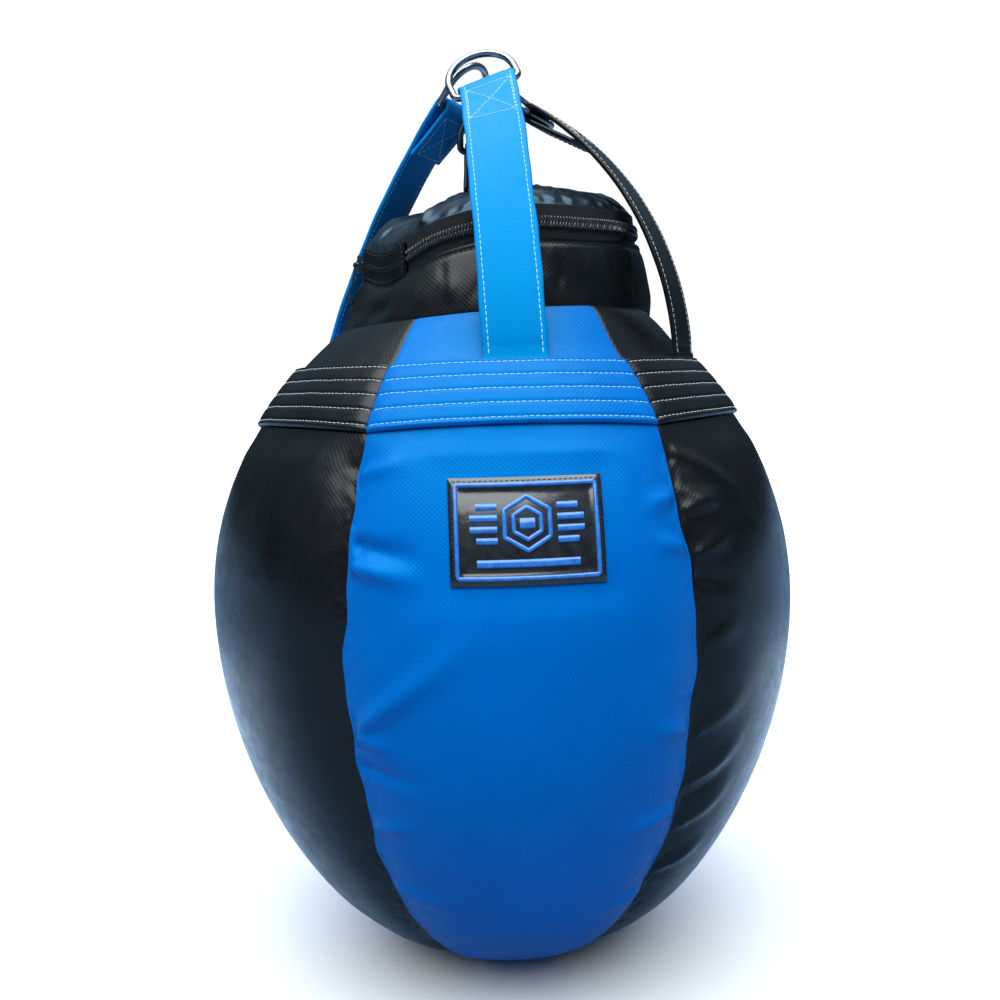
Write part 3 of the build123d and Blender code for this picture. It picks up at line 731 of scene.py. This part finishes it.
def stitches(name, lines, look, pitch=4.4 * MM, gap=0.5 * MM, radius=0.33 * MM, seed=1):
    """Rows of separate thread lengths; each line is points and outward normals close together."""
    draw = np.random.default_rng(seed)
    stations = np.array([0, 0.16, 0.5, 0.84, 1.0])
    lift = np.array([-1.1, 0.25, 0.55, 0.25, -1.1]) * radius
    thick = np.array([0.55, 0.95, 1.0, 0.95, 0.55]) * radius
    sides = 6
    angles = np.arange(sides) * TAU / sides
    batches = []
    for points, normals in lines:
        length = lengths_along(points)
        count = max(1, int(length[-1] / pitch))
        starts = (np.arange(count) + 0.5 * gap / pitch) * length[-1] / count
        reach = length[-1] / count - gap
        where = starts[:, None] + stations * reach
        at, up = along(where, length, points), unit(along(where, length, normals))
        ahead = along(where + 0.2 * MM, length, points) - along(where - 0.2 * MM, length, points)
        side = unit(np.cross(unit(ahead), up))
        shift, turn = (draw.normal(0, spread, (count, 1, 1)) for spread in (0.10 * MM, 0.12 * MM))
        sway = shift + turn * (stations - 0.5)[None, :, None]
        at = at + up * lift[None, :, None] + side * sway
        rings = at[:, :, None] + thick[None, :, None, None] * (
            side[:, :, None] * np.cos(angles)[:, None] + up[:, :, None] * np.sin(angles)[:, None])
        batches.append(rings)
    rings = np.concatenate(batches)
    total, steps = len(rings), len(stations)
    index = np.arange(total * steps * sides).reshape(total, steps, sides)
    around = np.concatenate([index, index[..., :1]], -1)
    quads = np.stack([around[:, :-1, :-1], around[:, :-1, 1:], around[:, 1:, 1:], around[:, 1:, :-1]], -1)
    faces = quads.reshape(-1, 4)[:, ::-1].tolist() + index[:, 0].tolist() + index[:, -1, ::-1].tolist()
    made = mesh_object(name, rings, faces)
    paint(made, MATERIALS[look])
    return made


# ---- shoulder band ----
BAND_ROWS = 5
BAND_EDGE = 4.5 * MM                    # first and last stitch row from the band's edges
BAND_SEAM_GAP = 0.0012                  # radians a piece stops short of its seam


def band_angle(number, across, share):
    """Angle on the band; both edges sag towards the seams between the gores."""
    sag = 0.013 * np.abs(across) ** 2.5
    top = BAND_HIGH - 0.4 * sag
    low = BAND_LOW - sag * 0.35 + 0.012 * (1 - np.abs(across) ** 2)
    return low + (top - low) * share


def band_row_share(row):
    edge = BAND_EDGE / (SHOULDER_RADIUS * (BAND_HIGH - BAND_LOW))
    return edge + (1 - 2 * edge) * row / (BAND_ROWS - 1)


def band_profile(share):
    """Outward offset of the band's face: rounded hems, quilted between the stitch rows."""
    width = SHOULDER_RADIUS * (BAND_HIGH - BAND_LOW)
    hem = np.minimum(share, 1 - share) * width
    height = 0.3 * MM + BAND_THICKNESS * (0.45 + 0.55 * smooth(hem, 0, 1.6 * MM))
    for row in range(BAND_ROWS):
        height = height - 0.75 * MM * bell(share * width, band_row_share(row) * width, 1.5 * MM)
    return height


def on_band(number, across, share, seam_gap=0.0):
    """Points on the band's face and the slopes of their normals."""
    angle = band_angle(number, across, share)
    azimuth = number * SPAN + across * (SPAN / 2 - seam_gap)
    ripple = 0.35 * MM * np.sin(azimuth * 31 + share * 4 + number) * np.sin(azimuth * 13 + 2 * number)
    dip = 1.3 * MM * smooth(np.abs(across), 0.93, 1.0)
    return azimuth, angle, skin(azimuth, angle, band_profile(share) + ripple * (1 - np.abs(across)) - dip)


def band(number, colour):
    across, share = np.meshgrid(np.linspace(-1, 1, 49), np.linspace(0, 1, 61), indexing="ij")
    azimuth, _, points = on_band(number, across, share, BAND_SEAM_GAP)
    name = f"band_{number + 1}_{colour}"
    made = shell(name + "_strip", points, 2.0 * MM, np.stack([azimuth * 0.2, share * 0.06], -1))
    finish_piece(made, f"{colour}_vinyl", "bag", [name])
    lines = []
    for row in range(BAND_ROWS):
        azimuth, angle, points = on_band(number, np.linspace(-0.985, 0.985, 90), np.full(90, band_row_share(row)))
        lines.append((points, skin_normal(azimuth, angle)))
    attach(stitches(name + "_stitches", lines, THREADS[colour], seed=number), "bag")


# ---- badge ----
BADGE_WIDTH, BADGE_LOW, BADGE_HIGH = 0.104, 0.050, 0.120
BADGE_SHIFT = 3.5 * MM
SIDE_BARS = ((11 * MM, 34 * MM), (3.7 * MM, 38 * MM), (-3.7 * MM, 38 * MM), (-11 * MM, 34 * MM))   # height, reach
BADGE_THICKNESS = 2.5 * MM


def on_badge(x, y, out):
    """Point on the badge: x to the right and y up from its middle, out above the vinyl."""
    level = (BADGE_LOW + BADGE_HIGH) / 2 + np.asarray(y, float)
    angle = shoulder_angle(level)
    radius = BAG_RADIUS - SHOULDER_RADIUS + SHOULDER_RADIUS * np.cos(angle)
    azimuth = np.arcsin((np.asarray(x, float) + BADGE_SHIFT) / radius)
    return skin(azimuth, angle, out), skin_normal(azimuth, angle)


def rounded_outline(width, height, corner, steps=6):
    """Closed outline of a rounded rectangle about the origin, anticlockwise."""
    points = []
    for quarter, (sx, sy) in enumerate(((1, 1), (-1, 1), (-1, -1), (1, -1))):
        for i in range(steps + 1):
            turn = (quarter + i / steps) * pi / 2
            points.append((sx * (width / 2 - corner) + corner * cos(turn),
                           sy * (height / 2 - corner) + corner * sin(turn)))
    return densified(points, 2.5 * MM, True)


def densified(points, step, closed):
    points = [np.array(point, float) for point in points]
    ends = points[1:] + points[:1] if closed else points[1:]
    line = []
    for start, end in zip(points, ends):
        count = max(1, int(np.ceil(np.linalg.norm(end - start) / step)))
        line += [start + (end - start) * i / count for i in range(count)]
    return np.array(line if closed else line + [points[-1]])


def ridge(name, outline, width, base, rise, closed=True):
    """Raised moulded line on the badge along a flat outline."""
    outline = np.asarray(outline)
    step = np.roll(outline, -1, 0) - np.roll(outline, 1, 0) if closed else np.gradient(outline, axis=0)
    ahead = unit(step)
    side = np.stack([ahead[:, 1], -ahead[:, 0]], -1)
    shares = np.array([-1, -1, -0.82, -0.5, 0, 0.5, 0.82, 1, 1])
    heights = np.array([-0.3, 0.2, 0.72, 0.96, 1.0, 0.96, 0.72, 0.2, -0.3])
    flat = outline[:, None] + side[:, None] * (shares * width / 2)[None, :, None]
    points, _ = on_badge(flat[..., 0], flat[..., 1], base + rise * heights[None, :])
    rows, columns = points.shape[:2]
    faces = grid_faces(rows, columns, closed, flip=True).tolist()
    index = np.arange(rows * columns).reshape(rows, columns)
    ring = np.append(np.arange(rows), 0) if closed else np.arange(rows)
    faces += [index[[a, b, b, a], [0, 0, -1, -1]].tolist() for a, b in zip(ring[:-1], ring[1:])]
    if not closed:
        faces += [index[0].tolist(), index[-1, ::-1].tolist()]
    return mesh_object(name, points, faces)


def badge():
    """Moulded plate with a blue rim, a hexagon emblem, side bars and a lower bar."""
    x, y = np.meshgrid(np.linspace(-1, 1, 53), np.linspace(-1, 1, 37), indexing="ij")
    rim = np.minimum((1 - np.abs(x)) * BADGE_WIDTH / 2, (1 - np.abs(y)) * (BADGE_HIGH - BADGE_LOW) / 2)
    height = 0.3 * MM + BADGE_THICKNESS * (0.45 + 0.55 * smooth(rim, 0, 0.9 * MM))
    height = height - 0.35 * MM * bell(rim, 2.6 * MM, 0.9 * MM) - 0.9 * MM * smooth(rim, 7.0 * MM, 8.2 * MM)
    points, _ = on_badge(x * BADGE_WIDTH / 2, y * (BADGE_HIGH - BADGE_LOW) / 2, height)
    panel = np.stack([x, y], -1) * 0.05
    plate = shell("badge_moulding", points, 1.2 * MM, panel)
    finish_piece(plate, "badge_rubber", "bag", ["badge_plate"])
    top = 0.3 * MM + BADGE_THICKNESS
    field = top - 0.9 * MM
    rim_line = rounded_outline(BADGE_WIDTH - 10 * MM, 60 * MM, 2 * MM)
    border = ridge("badge_border", rim_line, 3.0 * MM, top - 0.4 * MM, 1.5 * MM)
    finish_piece(border, "badge_blue", "bag", ["badge_frame"])
    parts = []
    middle = 5 * MM
    for radius, width in ((17.5 * MM, 3.2 * MM), (10.5 * MM, 3.0 * MM)):
        turns = [pi / 6 + i * pi / 3 for i in range(6)]
        corners = [(radius * cos(turn), radius * sin(turn) + middle) for turn in turns]
        parts.append(ridge("part", densified(corners, 2.5 * MM, True), width, field, 1.5 * MM))
    centre_bar = [(x, middle) for x in (-5 * MM, 0, 5 * MM)]
    parts.append(ridge("part", centre_bar, 7 * MM, field, 1.6 * MM, False))
    bars = [(side * 20 * MM, side * reach, middle + offset, 4.4 * MM, 1.4 * MM)
            for side in (-1, 1) for offset, reach in SIDE_BARS]
    for start, end, y, width, rise in bars + [(-34 * MM, 34 * MM, -20.5 * MM, 5.2 * MM, 1.3 * MM)]:
        parts.append(ridge("part", densified([(start, y), (end, y)], 2.5 * MM, False), width, field, rise, False))
    finish_piece(joined("badge_emblem", parts), "badge_blue", "bag")
    outline = rounded_outline(BADGE_WIDTH - 5.2 * MM, BADGE_HIGH - BADGE_LOW - 5.2 * MM, 1 * MM)
    outline = np.concatenate([outline, outline[:1]])
    at, up = on_badge(outline[:, 0], outline[:, 1], top - 0.3 * MM)
    sewn = stitches("badge_stitches", [(at, up)], "thread_dark", 3.6 * MM, radius=0.38 * MM)
    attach(sewn, "bag")


# ---- neck, zipper and lid ----
def ring_grid(columns, rows, start=0.0, end=TAU):
    around = np.linspace(start, end, columns, endpoint=end - start < TAU - 0.01)
    return np.meshgrid(around, np.linspace(0, 1, rows), indexing="ij")


def between(low, high, share):
    return low[0] + (high[0] - low[0]) * share, low[1] + (high[1] - low[1]) * share


def dents(azimuth, share, seed, count, depth, width=0.16, tall=0.3):
    """Soft random dents and bulges round a wall."""
    draw = np.random.default_rng(seed)
    height = np.zeros(azimuth.shape)
    for _ in range(count):
        at, level, lean = draw.uniform(0, TAU), draw.uniform(0.1, 0.9), draw.uniform(-0.5, 0.5)
        size = draw.uniform(0.5, 1.3)
        off = np.angle(np.exp(1j * (azimuth - at))) - lean * (share - level) * 0.3
        strength = draw.choice([-1, 1], p=[0.6, 0.4]) * draw.uniform(0.4, 1)
        height += strength * bell(off, 0, width * size) * bell(share, level, tall * size)
    return depth * height


def neck_point(azimuth, share, out):
    """Point on the sleeve between the round base and the leaning rim."""
    low = polar(NECK_BASE[0] + out, azimuth, NECK_BASE[1] - NECK_TUCK + crown_rise(azimuth, NECK_ANGLE))
    high = leaning(NECK_TOP[0] + out, azimuth, NECK_TOP[1])
    return low + (high - low) * share[..., None]


def neck():
    """Sleeve above the gores, dented by the filling and creased where it is sewn."""
    azimuth, share = ring_grid(360, 41)
    full = 2.4 * MM + 1.2 * MM * around_at(azimuth, radians(90), radians(50))
    out = full * np.sin(pi * share) ** 0.8 + dents(azimuth, share, 5, 34, 2.4 * MM) * np.sin(pi * share) ** 0.7
    out += dents(azimuth, share, 6, 60, 1.0 * MM, 0.04, 0.25) * np.sin(pi * share)
    out -= 1.2 * MM * bell(share, 0.93, 0.03) + 2.0 * MM * (1 - smooth(share, 0, 0.06))
    panel = np.stack([azimuth * NECK_TOP[0], share * (NECK_TOP[1] - NECK_BASE[1])], -1)
    made = shell("neck_sleeve", neck_point(azimuth, share, out), VINYL, panel, ring=True)
    finish_piece(made, "black_vinyl", "bag", ["neck_wall"])
    around = np.linspace(0, TAU, 400)
    line = neck_point(around, np.full(400, 0.93), np.full(400, 0.0))
    sewn = stitches("neck_stitches", [(line, skin_normal(around, 0.2))], "thread_dark", 4 * MM)
    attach(sewn, "bag")


COIL_PITCH = 2.6 * MM
COIL_WIRE = 0.72 * MM


def coil(name, level, lean, start, end, body, node):
    """Helical coil of one half of the chain, every turn modelled."""
    turns = int((end - start) * CHAIN_RADIUS / COIL_PITCH)
    phase = np.linspace(0, turns * TAU, turns * 12 + 1)
    azimuth = start + (end - start) * phase / phase[-1] + lean * 0.0052 * np.sin(phase)
    radius = CHAIN_RADIUS - 1.5 * MM + (1.5 * MM - COIL_WIRE) * np.cos(phase)
    rise = level + (2.5 * MM - COIL_WIRE) * np.sin(phase)
    made = tube(name, leaning(radius, azimuth, rise), COIL_WIRE, sides=6)
    finish_piece(made, "zip_coil", body, [node])


def zip_tape(name, low, high, start, end, body, node):
    azimuth, share = ring_grid(240, 9, start, end)
    level = low + (high - low) * share
    radius = CHAIN_RADIUS - 3.3 * MM + 0.25 * MM * np.sin(azimuth * 23) * np.sin(pi * share)
    points = leaning(radius, azimuth, level)
    panel = np.stack([azimuth * CHAIN_RADIUS, level], -1)
    made = shell(name, points, 0.7 * MM, panel)
    finish_piece(made, "zip_tape", body, [node])


LID_OUTLINE = ((0.1176, 0.3120), (0.1135, 0.3200), (0.1050, 0.3280), (0.0930, 0.3340), (0.0700, 0.3385),
               (0.0020, 0.3415))


def lid():
    """Vinyl gathered onto the zipper tape, wrinkled over the heap of filling."""
    azimuth, share = ring_grid(360, 56)
    steps = np.linspace(0, 1, len(LID_OUTLINE))
    place = share ** 0.85
    radius, level = (rounded_through(place, steps, [point[i] for point in LID_OUTLINE]) for i in (0, 1))
    points = leaning(radius, azimuth, level)
    normal = grid_normals(points, True)
    calm = 1 - 0.75 * around_at(azimuth, radians(-62), radians(26))
    crumple = dents(azimuth, share, 21, 36, 3.4 * MM, 0.12, 0.18) * calm
    crumple = crumple + dents(azimuth, share, 22, 110, 2.0 * MM, 0.03, 0.16)
    gathers = 0.8 * MM * np.sin(azimuth * 52 + 3 * np.sin(azimuth * 5)) * bell(share, 0.08, 0.08)
    hold = smooth(share, 0.0, 0.12) * (1 - smooth(share, 0.9, 1.0))
    points = points + normal * ((np.clip(crumple, -5 * MM, 3.5 * MM) + gathers) * hold)[..., None]
    panel = np.stack([np.sin(azimuth) * (1 - share), np.cos(azimuth) * (1 - share)], -1) * 0.13
    made = shell("lid_cover", points, VINYL, panel, ring=True)
    # the lid takes the copy of the black vinyl with painted blue reflections
    finish_piece(made, "black_vinyl", "lid", ["lid_top", "lid_skirt"], "lid_vinyl_painted_blue_reflection")


def rounded_through(place, steps, values):
    """Smooth curve through values given at even steps."""
    fine = np.linspace(0, 1, 400)
    line = np.interp(fine, steps, values)
    for _ in range(3):
        line = np.where(np.minimum(fine, 1 - fine) > 0.04, np.convolve(line, np.ones(25) / 25, "same"), line)
    return np.interp(place, fine, line)


def hinge():
    """Patch of vinyl that joins lid and neck where the zipper ends."""
    azimuth, share = ring_grid(49, 25, radians(-77.5), radians(-42.5))
    low, high = (NECK_TOP[0] + 0.2 * MM, NECK_TOP[1] - 1.0 * MM), (LID_RIM[0] + 1.4 * MM, LID_RIM[1] + 0.6 * MM)
    radius, level = between(low, high, share)
    out = 1.0 * MM + 0.4 * MM * np.sin(azimuth * 11) * np.sin(pi * share) + 0.8 * MM * np.sin(pi * share)
    out -= 0.8 * MM * bell(share, 0.5, 0.05)
    points = leaning(radius + out, azimuth, level)
    panel = np.stack([azimuth * CHAIN_RADIUS, share * 0.025], -1)
    made = shell("hinge_flap", points, VINYL, panel)
    finish_piece(made, "black_vinyl", None, ["hinge_patch"])
    lines = []
    for row in (slice(2, 3), slice(-3, -2)):
        lines += [(points[row, 1:-1][0], skin_normal(azimuth[row, 1:-1][0], 0.1)),
                  (points[2:-2, row][:, 0], skin_normal(azimuth[2:-2, row][:, 0], 0.1))]
    sewn = stitches("hinge_stitches", lines, "thread_dark", 3.6 * MM)
    axis = leaning(np.array(0.1214), np.array(radians(-60)), np.array(0.298))
    for piece in (made, sewn):
        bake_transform(piece)


# ---- straps ----
class Strap:
    """One strap: from under the band, over the shoulder, round its ring and sewn back on itself."""

    def __init__(self, name):
        azimuth, bar_radius, bar_level, bow, roll, foot_shift, top_shift, self.colour = STRAPS[name]
        self.name = name
        self.azimuth = radians(azimuth)
        self.roll = radians(roll)
        self.foot = np.array([foot_shift, *STRAP_FOOT])
        self.bar = np.array([top_shift, -bar_radius, bar_level])
        self.outward = np.array([0, -cos(STRAP_LEAN), sin(STRAP_LEAN)])
        self.top = self.bar + self.outward * LOOP_RADIUS
        chord = self.top - self.foot
        bulge = np.array([0, -chord[2], chord[1]])
        self.middle = (self.foot + self.top) / 2 + bulge / np.linalg.norm(bulge) * bow
        self.run = self.arc(90)

    def arc(self, count):
        """Points of the circular arc through foot, middle and top."""
        a, b, c = self.foot, self.middle, self.top
        u, w = unit(b - a), unit(np.cross(b - a, c - a))
        v = np.cross(w, u)
        bx, cx, cy = np.dot(b - a, u), np.dot(c - a, u), np.dot(c - a, v)
        h = ((cx - bx / 2) ** 2 + cy**2 - (bx / 2) ** 2) / (2 * cy)
        centre = a + u * bx / 2 + v * h
        x, y = a - centre, np.cross(w, a - centre)
        sweep = atan2(np.dot(c - centre, y), np.dot(c - centre, x)) % TAU
        turn = np.linspace(0, sweep, count)[:, None]
        return centre + x * np.cos(turn) + y * np.sin(turn)

    def route(self):
        """Centre line with, for each point, the direction across the strap and out of its face."""
        tail_angle = np.linspace(radians(36.5), radians(44.0), 14)
        leaves = smooth(tail_angle, BAND_HIGH - 0.004, BAND_HIGH + 0.02)
        tail = skin(0.0, tail_angle, TAIL_OUT + (HINGE_OUT - TAIL_OUT) * leaves) - [0, 0, EQUATOR]
        tail = tail + [self.foot[0], 0, 0]
        share = np.linspace(0, 1, len(self.run))
        twist = self.roll * np.maximum(0, 2 * share - 1)
        across_run = np.stack([np.cos(twist), 0 * twist, np.sin(twist)], -1)
        across_end = across_run[-1]
        normal = unit(self.outward - across_end * np.dot(self.outward, across_end))
        up = np.cross(across_end, normal)
        up = up if up[2] > 0 else -up
        turn = np.linspace(0, pi, 15)[1:, None]
        loop = self.bar + LOOP_RADIUS * (normal * np.cos(turn) + up * np.sin(turn))
        low = int(len(self.run) * 0.80)
        back_end = self.run[low] - self.face_normals(self.run, across_run)[low] * (STRAP_THICKNESS + 0.2 * MM)
        ease = np.linspace(0, 1, 18)[1:, None]
        back = loop[-1] + (back_end - loop[-1]) * ease
        line = np.concatenate([tail, self.run, loop, back])
        across = np.concatenate([
            np.tile([1.0, 0, 0], (len(tail), 1)), across_run,
            np.tile(across_end, (len(loop), 1)),
            unit(across_end + (across_run[low] - across_end) * ease)])
        return line, across

    @staticmethod
    def face_normals(line, across):
        return unit(np.cross(across, np.gradient(line, axis=0)))

    def placed(self, points):
        """Turn points made at the front to the strap's azimuth, in the row frame."""
        c, s = cos(self.azimuth), sin(self.azimuth)
        x, y, z = np.moveaxis(np.asarray(points, float), -1, 0)
        return np.stack([x * c - y * s, x * s + y * c, z + EQUATOR], -1)

    def turned(self, vectors):
        return self.placed(vectors) - [0, 0, EQUATOR]

    def blend(self, obj):
        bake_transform(obj)

    def build(self):
        line, across = self.route()
        normal = self.face_normals(line, across)
        length = lengths_along(line)
        draw = np.random.default_rng(int(degrees_of(self.azimuth)) + 3)
        stitch_at = STRAP_WIDTH / 2 - 4.3 * MM
        half_shape = np.array([1, 0.985, 0.94, 0.88, 0.82, 0.72, 0.5, 0.25, 0])
        x = np.concatenate([half_shape, -half_shape[:-1][::-1]]) * STRAP_WIDTH / 2
        edge = STRAP_WIDTH / 2 - np.abs(x)
        face = STRAP_THICKNESS / 2 * (0.30 + 0.70 * np.sqrt(np.clip(edge / (1.6 * MM), 0, 1)))
        face = face - 0.45 * MM * bell(edge, 4.3 * MM, 1.4 * MM)
        sway = 0.35 * MM * np.sin(length * 60 + draw.uniform(0, 6)) + 0.25 * MM * np.sin(length * 143)
        thin = TAIL_SHARE + (1 - TAIL_SHARE) * smooth(np.arange(len(line)), 9, 18)
        face = (thin[:, None] * face)[:, :, None]
        wide, sway = x[None, :, None], sway[:, None, None]
        top = line[:, None] + across[:, None] * (wide + sway) + normal[:, None] * face
        low = line[:, None] + across[:, None] * (wide[:, ::-1] + sway) - normal[:, None] * face[:, ::-1]
        section = np.concatenate([top, low[:, 1:-1]], 1)
        wide = np.concatenate([x, x[::-1][1:-1]])
        panel = np.stack(np.broadcast_arrays(wide[None, :], length[:, None]), -1)
        made = mesh_object(f"strap_{self.name}_sleeve", self.placed(section), tube_faces(*section.shape[:2]), panel)
        # blue straps take the lighter copy of the blue vinyl: painted light from above
        finish_piece(made, f"{self.colour}_vinyl", None,
                     [f"strap_{self.name}_cover", f"strap_{self.name}_core", f"strap_{self.name}_tail"],
                     "strap_blue_painted_lighter" if self.colour == BLUE else None)
        self.blend(made)
        self.sew(line, across, normal, thin, stitch_at)
        return made

    def sew(self, line, across, normal, thin, stitch_at):
        """Edge rows on both faces, and the box with a cross where the strap is doubled."""
        face = STRAP_THICKNESS / 2 - 0.4 * MM
        first = 13
        run_end = 14 + len(self.run)
        lines = []
        for side in (-1, 1):
            for out, last in ((1, run_end), (-1, int(run_end * 0.84))):
                at = line[first:last] + across[first:last] * side * stitch_at
                at = at + normal[first:last] * out * face * thin[first:last, None]
                lines.append((self.placed(at), self.turned(normal[first:last] * out)))
        start, end = run_end - 18, run_end - 4
        lines += self.box(line, across, normal, start, end)
        lines += self.box(line, across, normal, len(line) - 16, len(line) - 2)
        made = stitches(f"strap_{self.name}_stitches", lines, THREADS[self.colour],
                        4.6 * MM, seed=int(degrees_of(self.azimuth)))
        self.blend(made)

    def box(self, line, across, normal, start, end):
        """Four sides and two diagonals between two places along the strap."""
        half = STRAP_WIDTH / 2 - 5.4 * MM

        def point(share, sideways):
            index = start + share * (end - start)
            at, wide, up = (along(index, np.arange(len(line)), values) for values in (line, across, normal))
            return at + wide * sideways * half + up * STRAP_THICKNESS / 2, up

        corners = dict(zip("abcd", ((0, -1), (0, 1), (1, 1), (1, -1))))
        lines = []
        for pair in ("ab", "bc", "cd", "da", "ac", "bd"):
            (a0, s0), (a1, s1) = corners[pair[0]], corners[pair[1]]
            made = [point(a0 + (a1 - a0) * t, s0 + (s1 - s0) * t) for t in np.linspace(0, 1, 16)]
            lines.append((self.placed([m[0] for m in made]), self.turned([m[1] for m in made])))
        return lines


def degrees_of(angle):
    return round(angle * 180 / pi)


# ---- inside: lining, foam and packed textile scrap ----
SEAM_ROOM = 9.5 * MM                    # the lining lies this far in, behind the deepest seam
LINER, FOAM = 1.0 * MM, 14 * MM
SCRAP_WALL = 12 * MM
HEAP = ((0.1130, 0.240), (0.1020, 0.284), (0.096, 0.300), (0.074, 0.318), (0.002, 0.326))


def lining():
    """Lining and foam behind the gores, as two closed layers."""
    for node, slot_name, depth, thickness in (
            ("liner", "lining", SEAM_ROOM, LINER), ("foam_layer", "foam", SEAM_ROOM + LINER + 0.3 * MM, FOAM)):
        azimuth, _ = ring_grid(120, 60)
        angle = even_angles(POLE_ANGLE, NECK_ANGLE - 0.01, 60)[None, :] + 0 * azimuth
        ripple = 0.4 * MM * np.sin(azimuth * 9 + angle * 5) * np.cos(angle)
        points = skin(azimuth, angle, ripple - depth)
        panel = np.stack([azimuth * BAG_RADIUS, angle * BAG_RADIUS], -1)
        made = shell(node + "_layer", points, thickness, panel, ring=True)
        finish_piece(made, slot_name, "bag", [node])


def filling():
    """Packed textile scrap with a lumpy heap under the lid."""
    line = skin(0.0, even_angles(POLE_ANGLE, NECK_ANGLE - 0.01, 80), -(SEAM_ROOM + LINER + FOAM + 1.5 * MM))
    radius, level = list(-line[:, 1]), list(line[:, 2] - EQUATOR)
    for low, high in zip(HEAP[:-1], HEAP[1:]):
        for share in np.arange(10) / 10:
            r, h = between(low, high, share)
            radius.append(r)
            level.append(h)
    azimuth, radius = np.meshgrid(np.linspace(0, TAU, 180, endpoint=False), radius, indexing="ij")
    level = np.array(level) + 0 * azimuth
    draw = np.random.default_rng(3)
    lump = np.zeros(azimuth.shape)
    for _ in range(9):
        turns, rate, phase = draw.integers(2, 17), draw.uniform(20, 90), draw.uniform(0, TAU)
        lump += np.sin(azimuth * turns + phase) * np.sin(level * rate + phase)
    points = polar(radius, azimuth, level)
    swell = 0.9 * MM * lump * smooth(radius, 0.004, 0.03) - 1.5 * MM
    points = points + grid_normals(points, True) * swell[..., None]
    panel = np.stack([azimuth * BAG_RADIUS, level], -1)
    made = shell("filling_scrap", points, SCRAP_WALL, panel, ring=True)
    finish_piece(made, "textile_scrap", "bag", ["filling"])


# ---- put the object together ----
camera()
studio()
for number in range(GORES):
    colour = (BLUE, BLACK)[number % 2]
    gore(number, colour)
    band(number, colour)
badge()
neck()
coil("zip_coil_lower_turns", CHAIN_LEVEL - 2.0 * MM, 1, ZIP_START, ZIP_END, "bag", "zip_coil_lower")
coil("zip_coil_upper_turns", CHAIN_LEVEL + 2.0 * MM, -1, ZIP_START + 0.01, UPPER_END, "lid", "zip_coil_upper")
TAPE_NEAR, TAPE_FAR = 0.6 * MM, 13.5 * MM
zip_tape("zip_tape_lower_weave", CHAIN_LEVEL - TAPE_FAR, CHAIN_LEVEL - TAPE_NEAR, ZIP_START, ZIP_END,
         "bag", "zip_tape_lower")
zip_tape("zip_tape_upper_weave", CHAIN_LEVEL + TAPE_NEAR, CHAIN_LEVEL + TAPE_FAR, ZIP_START + 0.005, UPPER_END,
         "lid", "zip_tape_upper")
lid()
hinge()
for name in STRAPS:
    Strap(name).build()
    paint(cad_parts[f"ring_{name}"], MATERIALS["plated_steel"])
for name in ("zip_slider", "zip_pull"):
    paint(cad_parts[name], MATERIALS["zip_metal"])
lining()
filling()
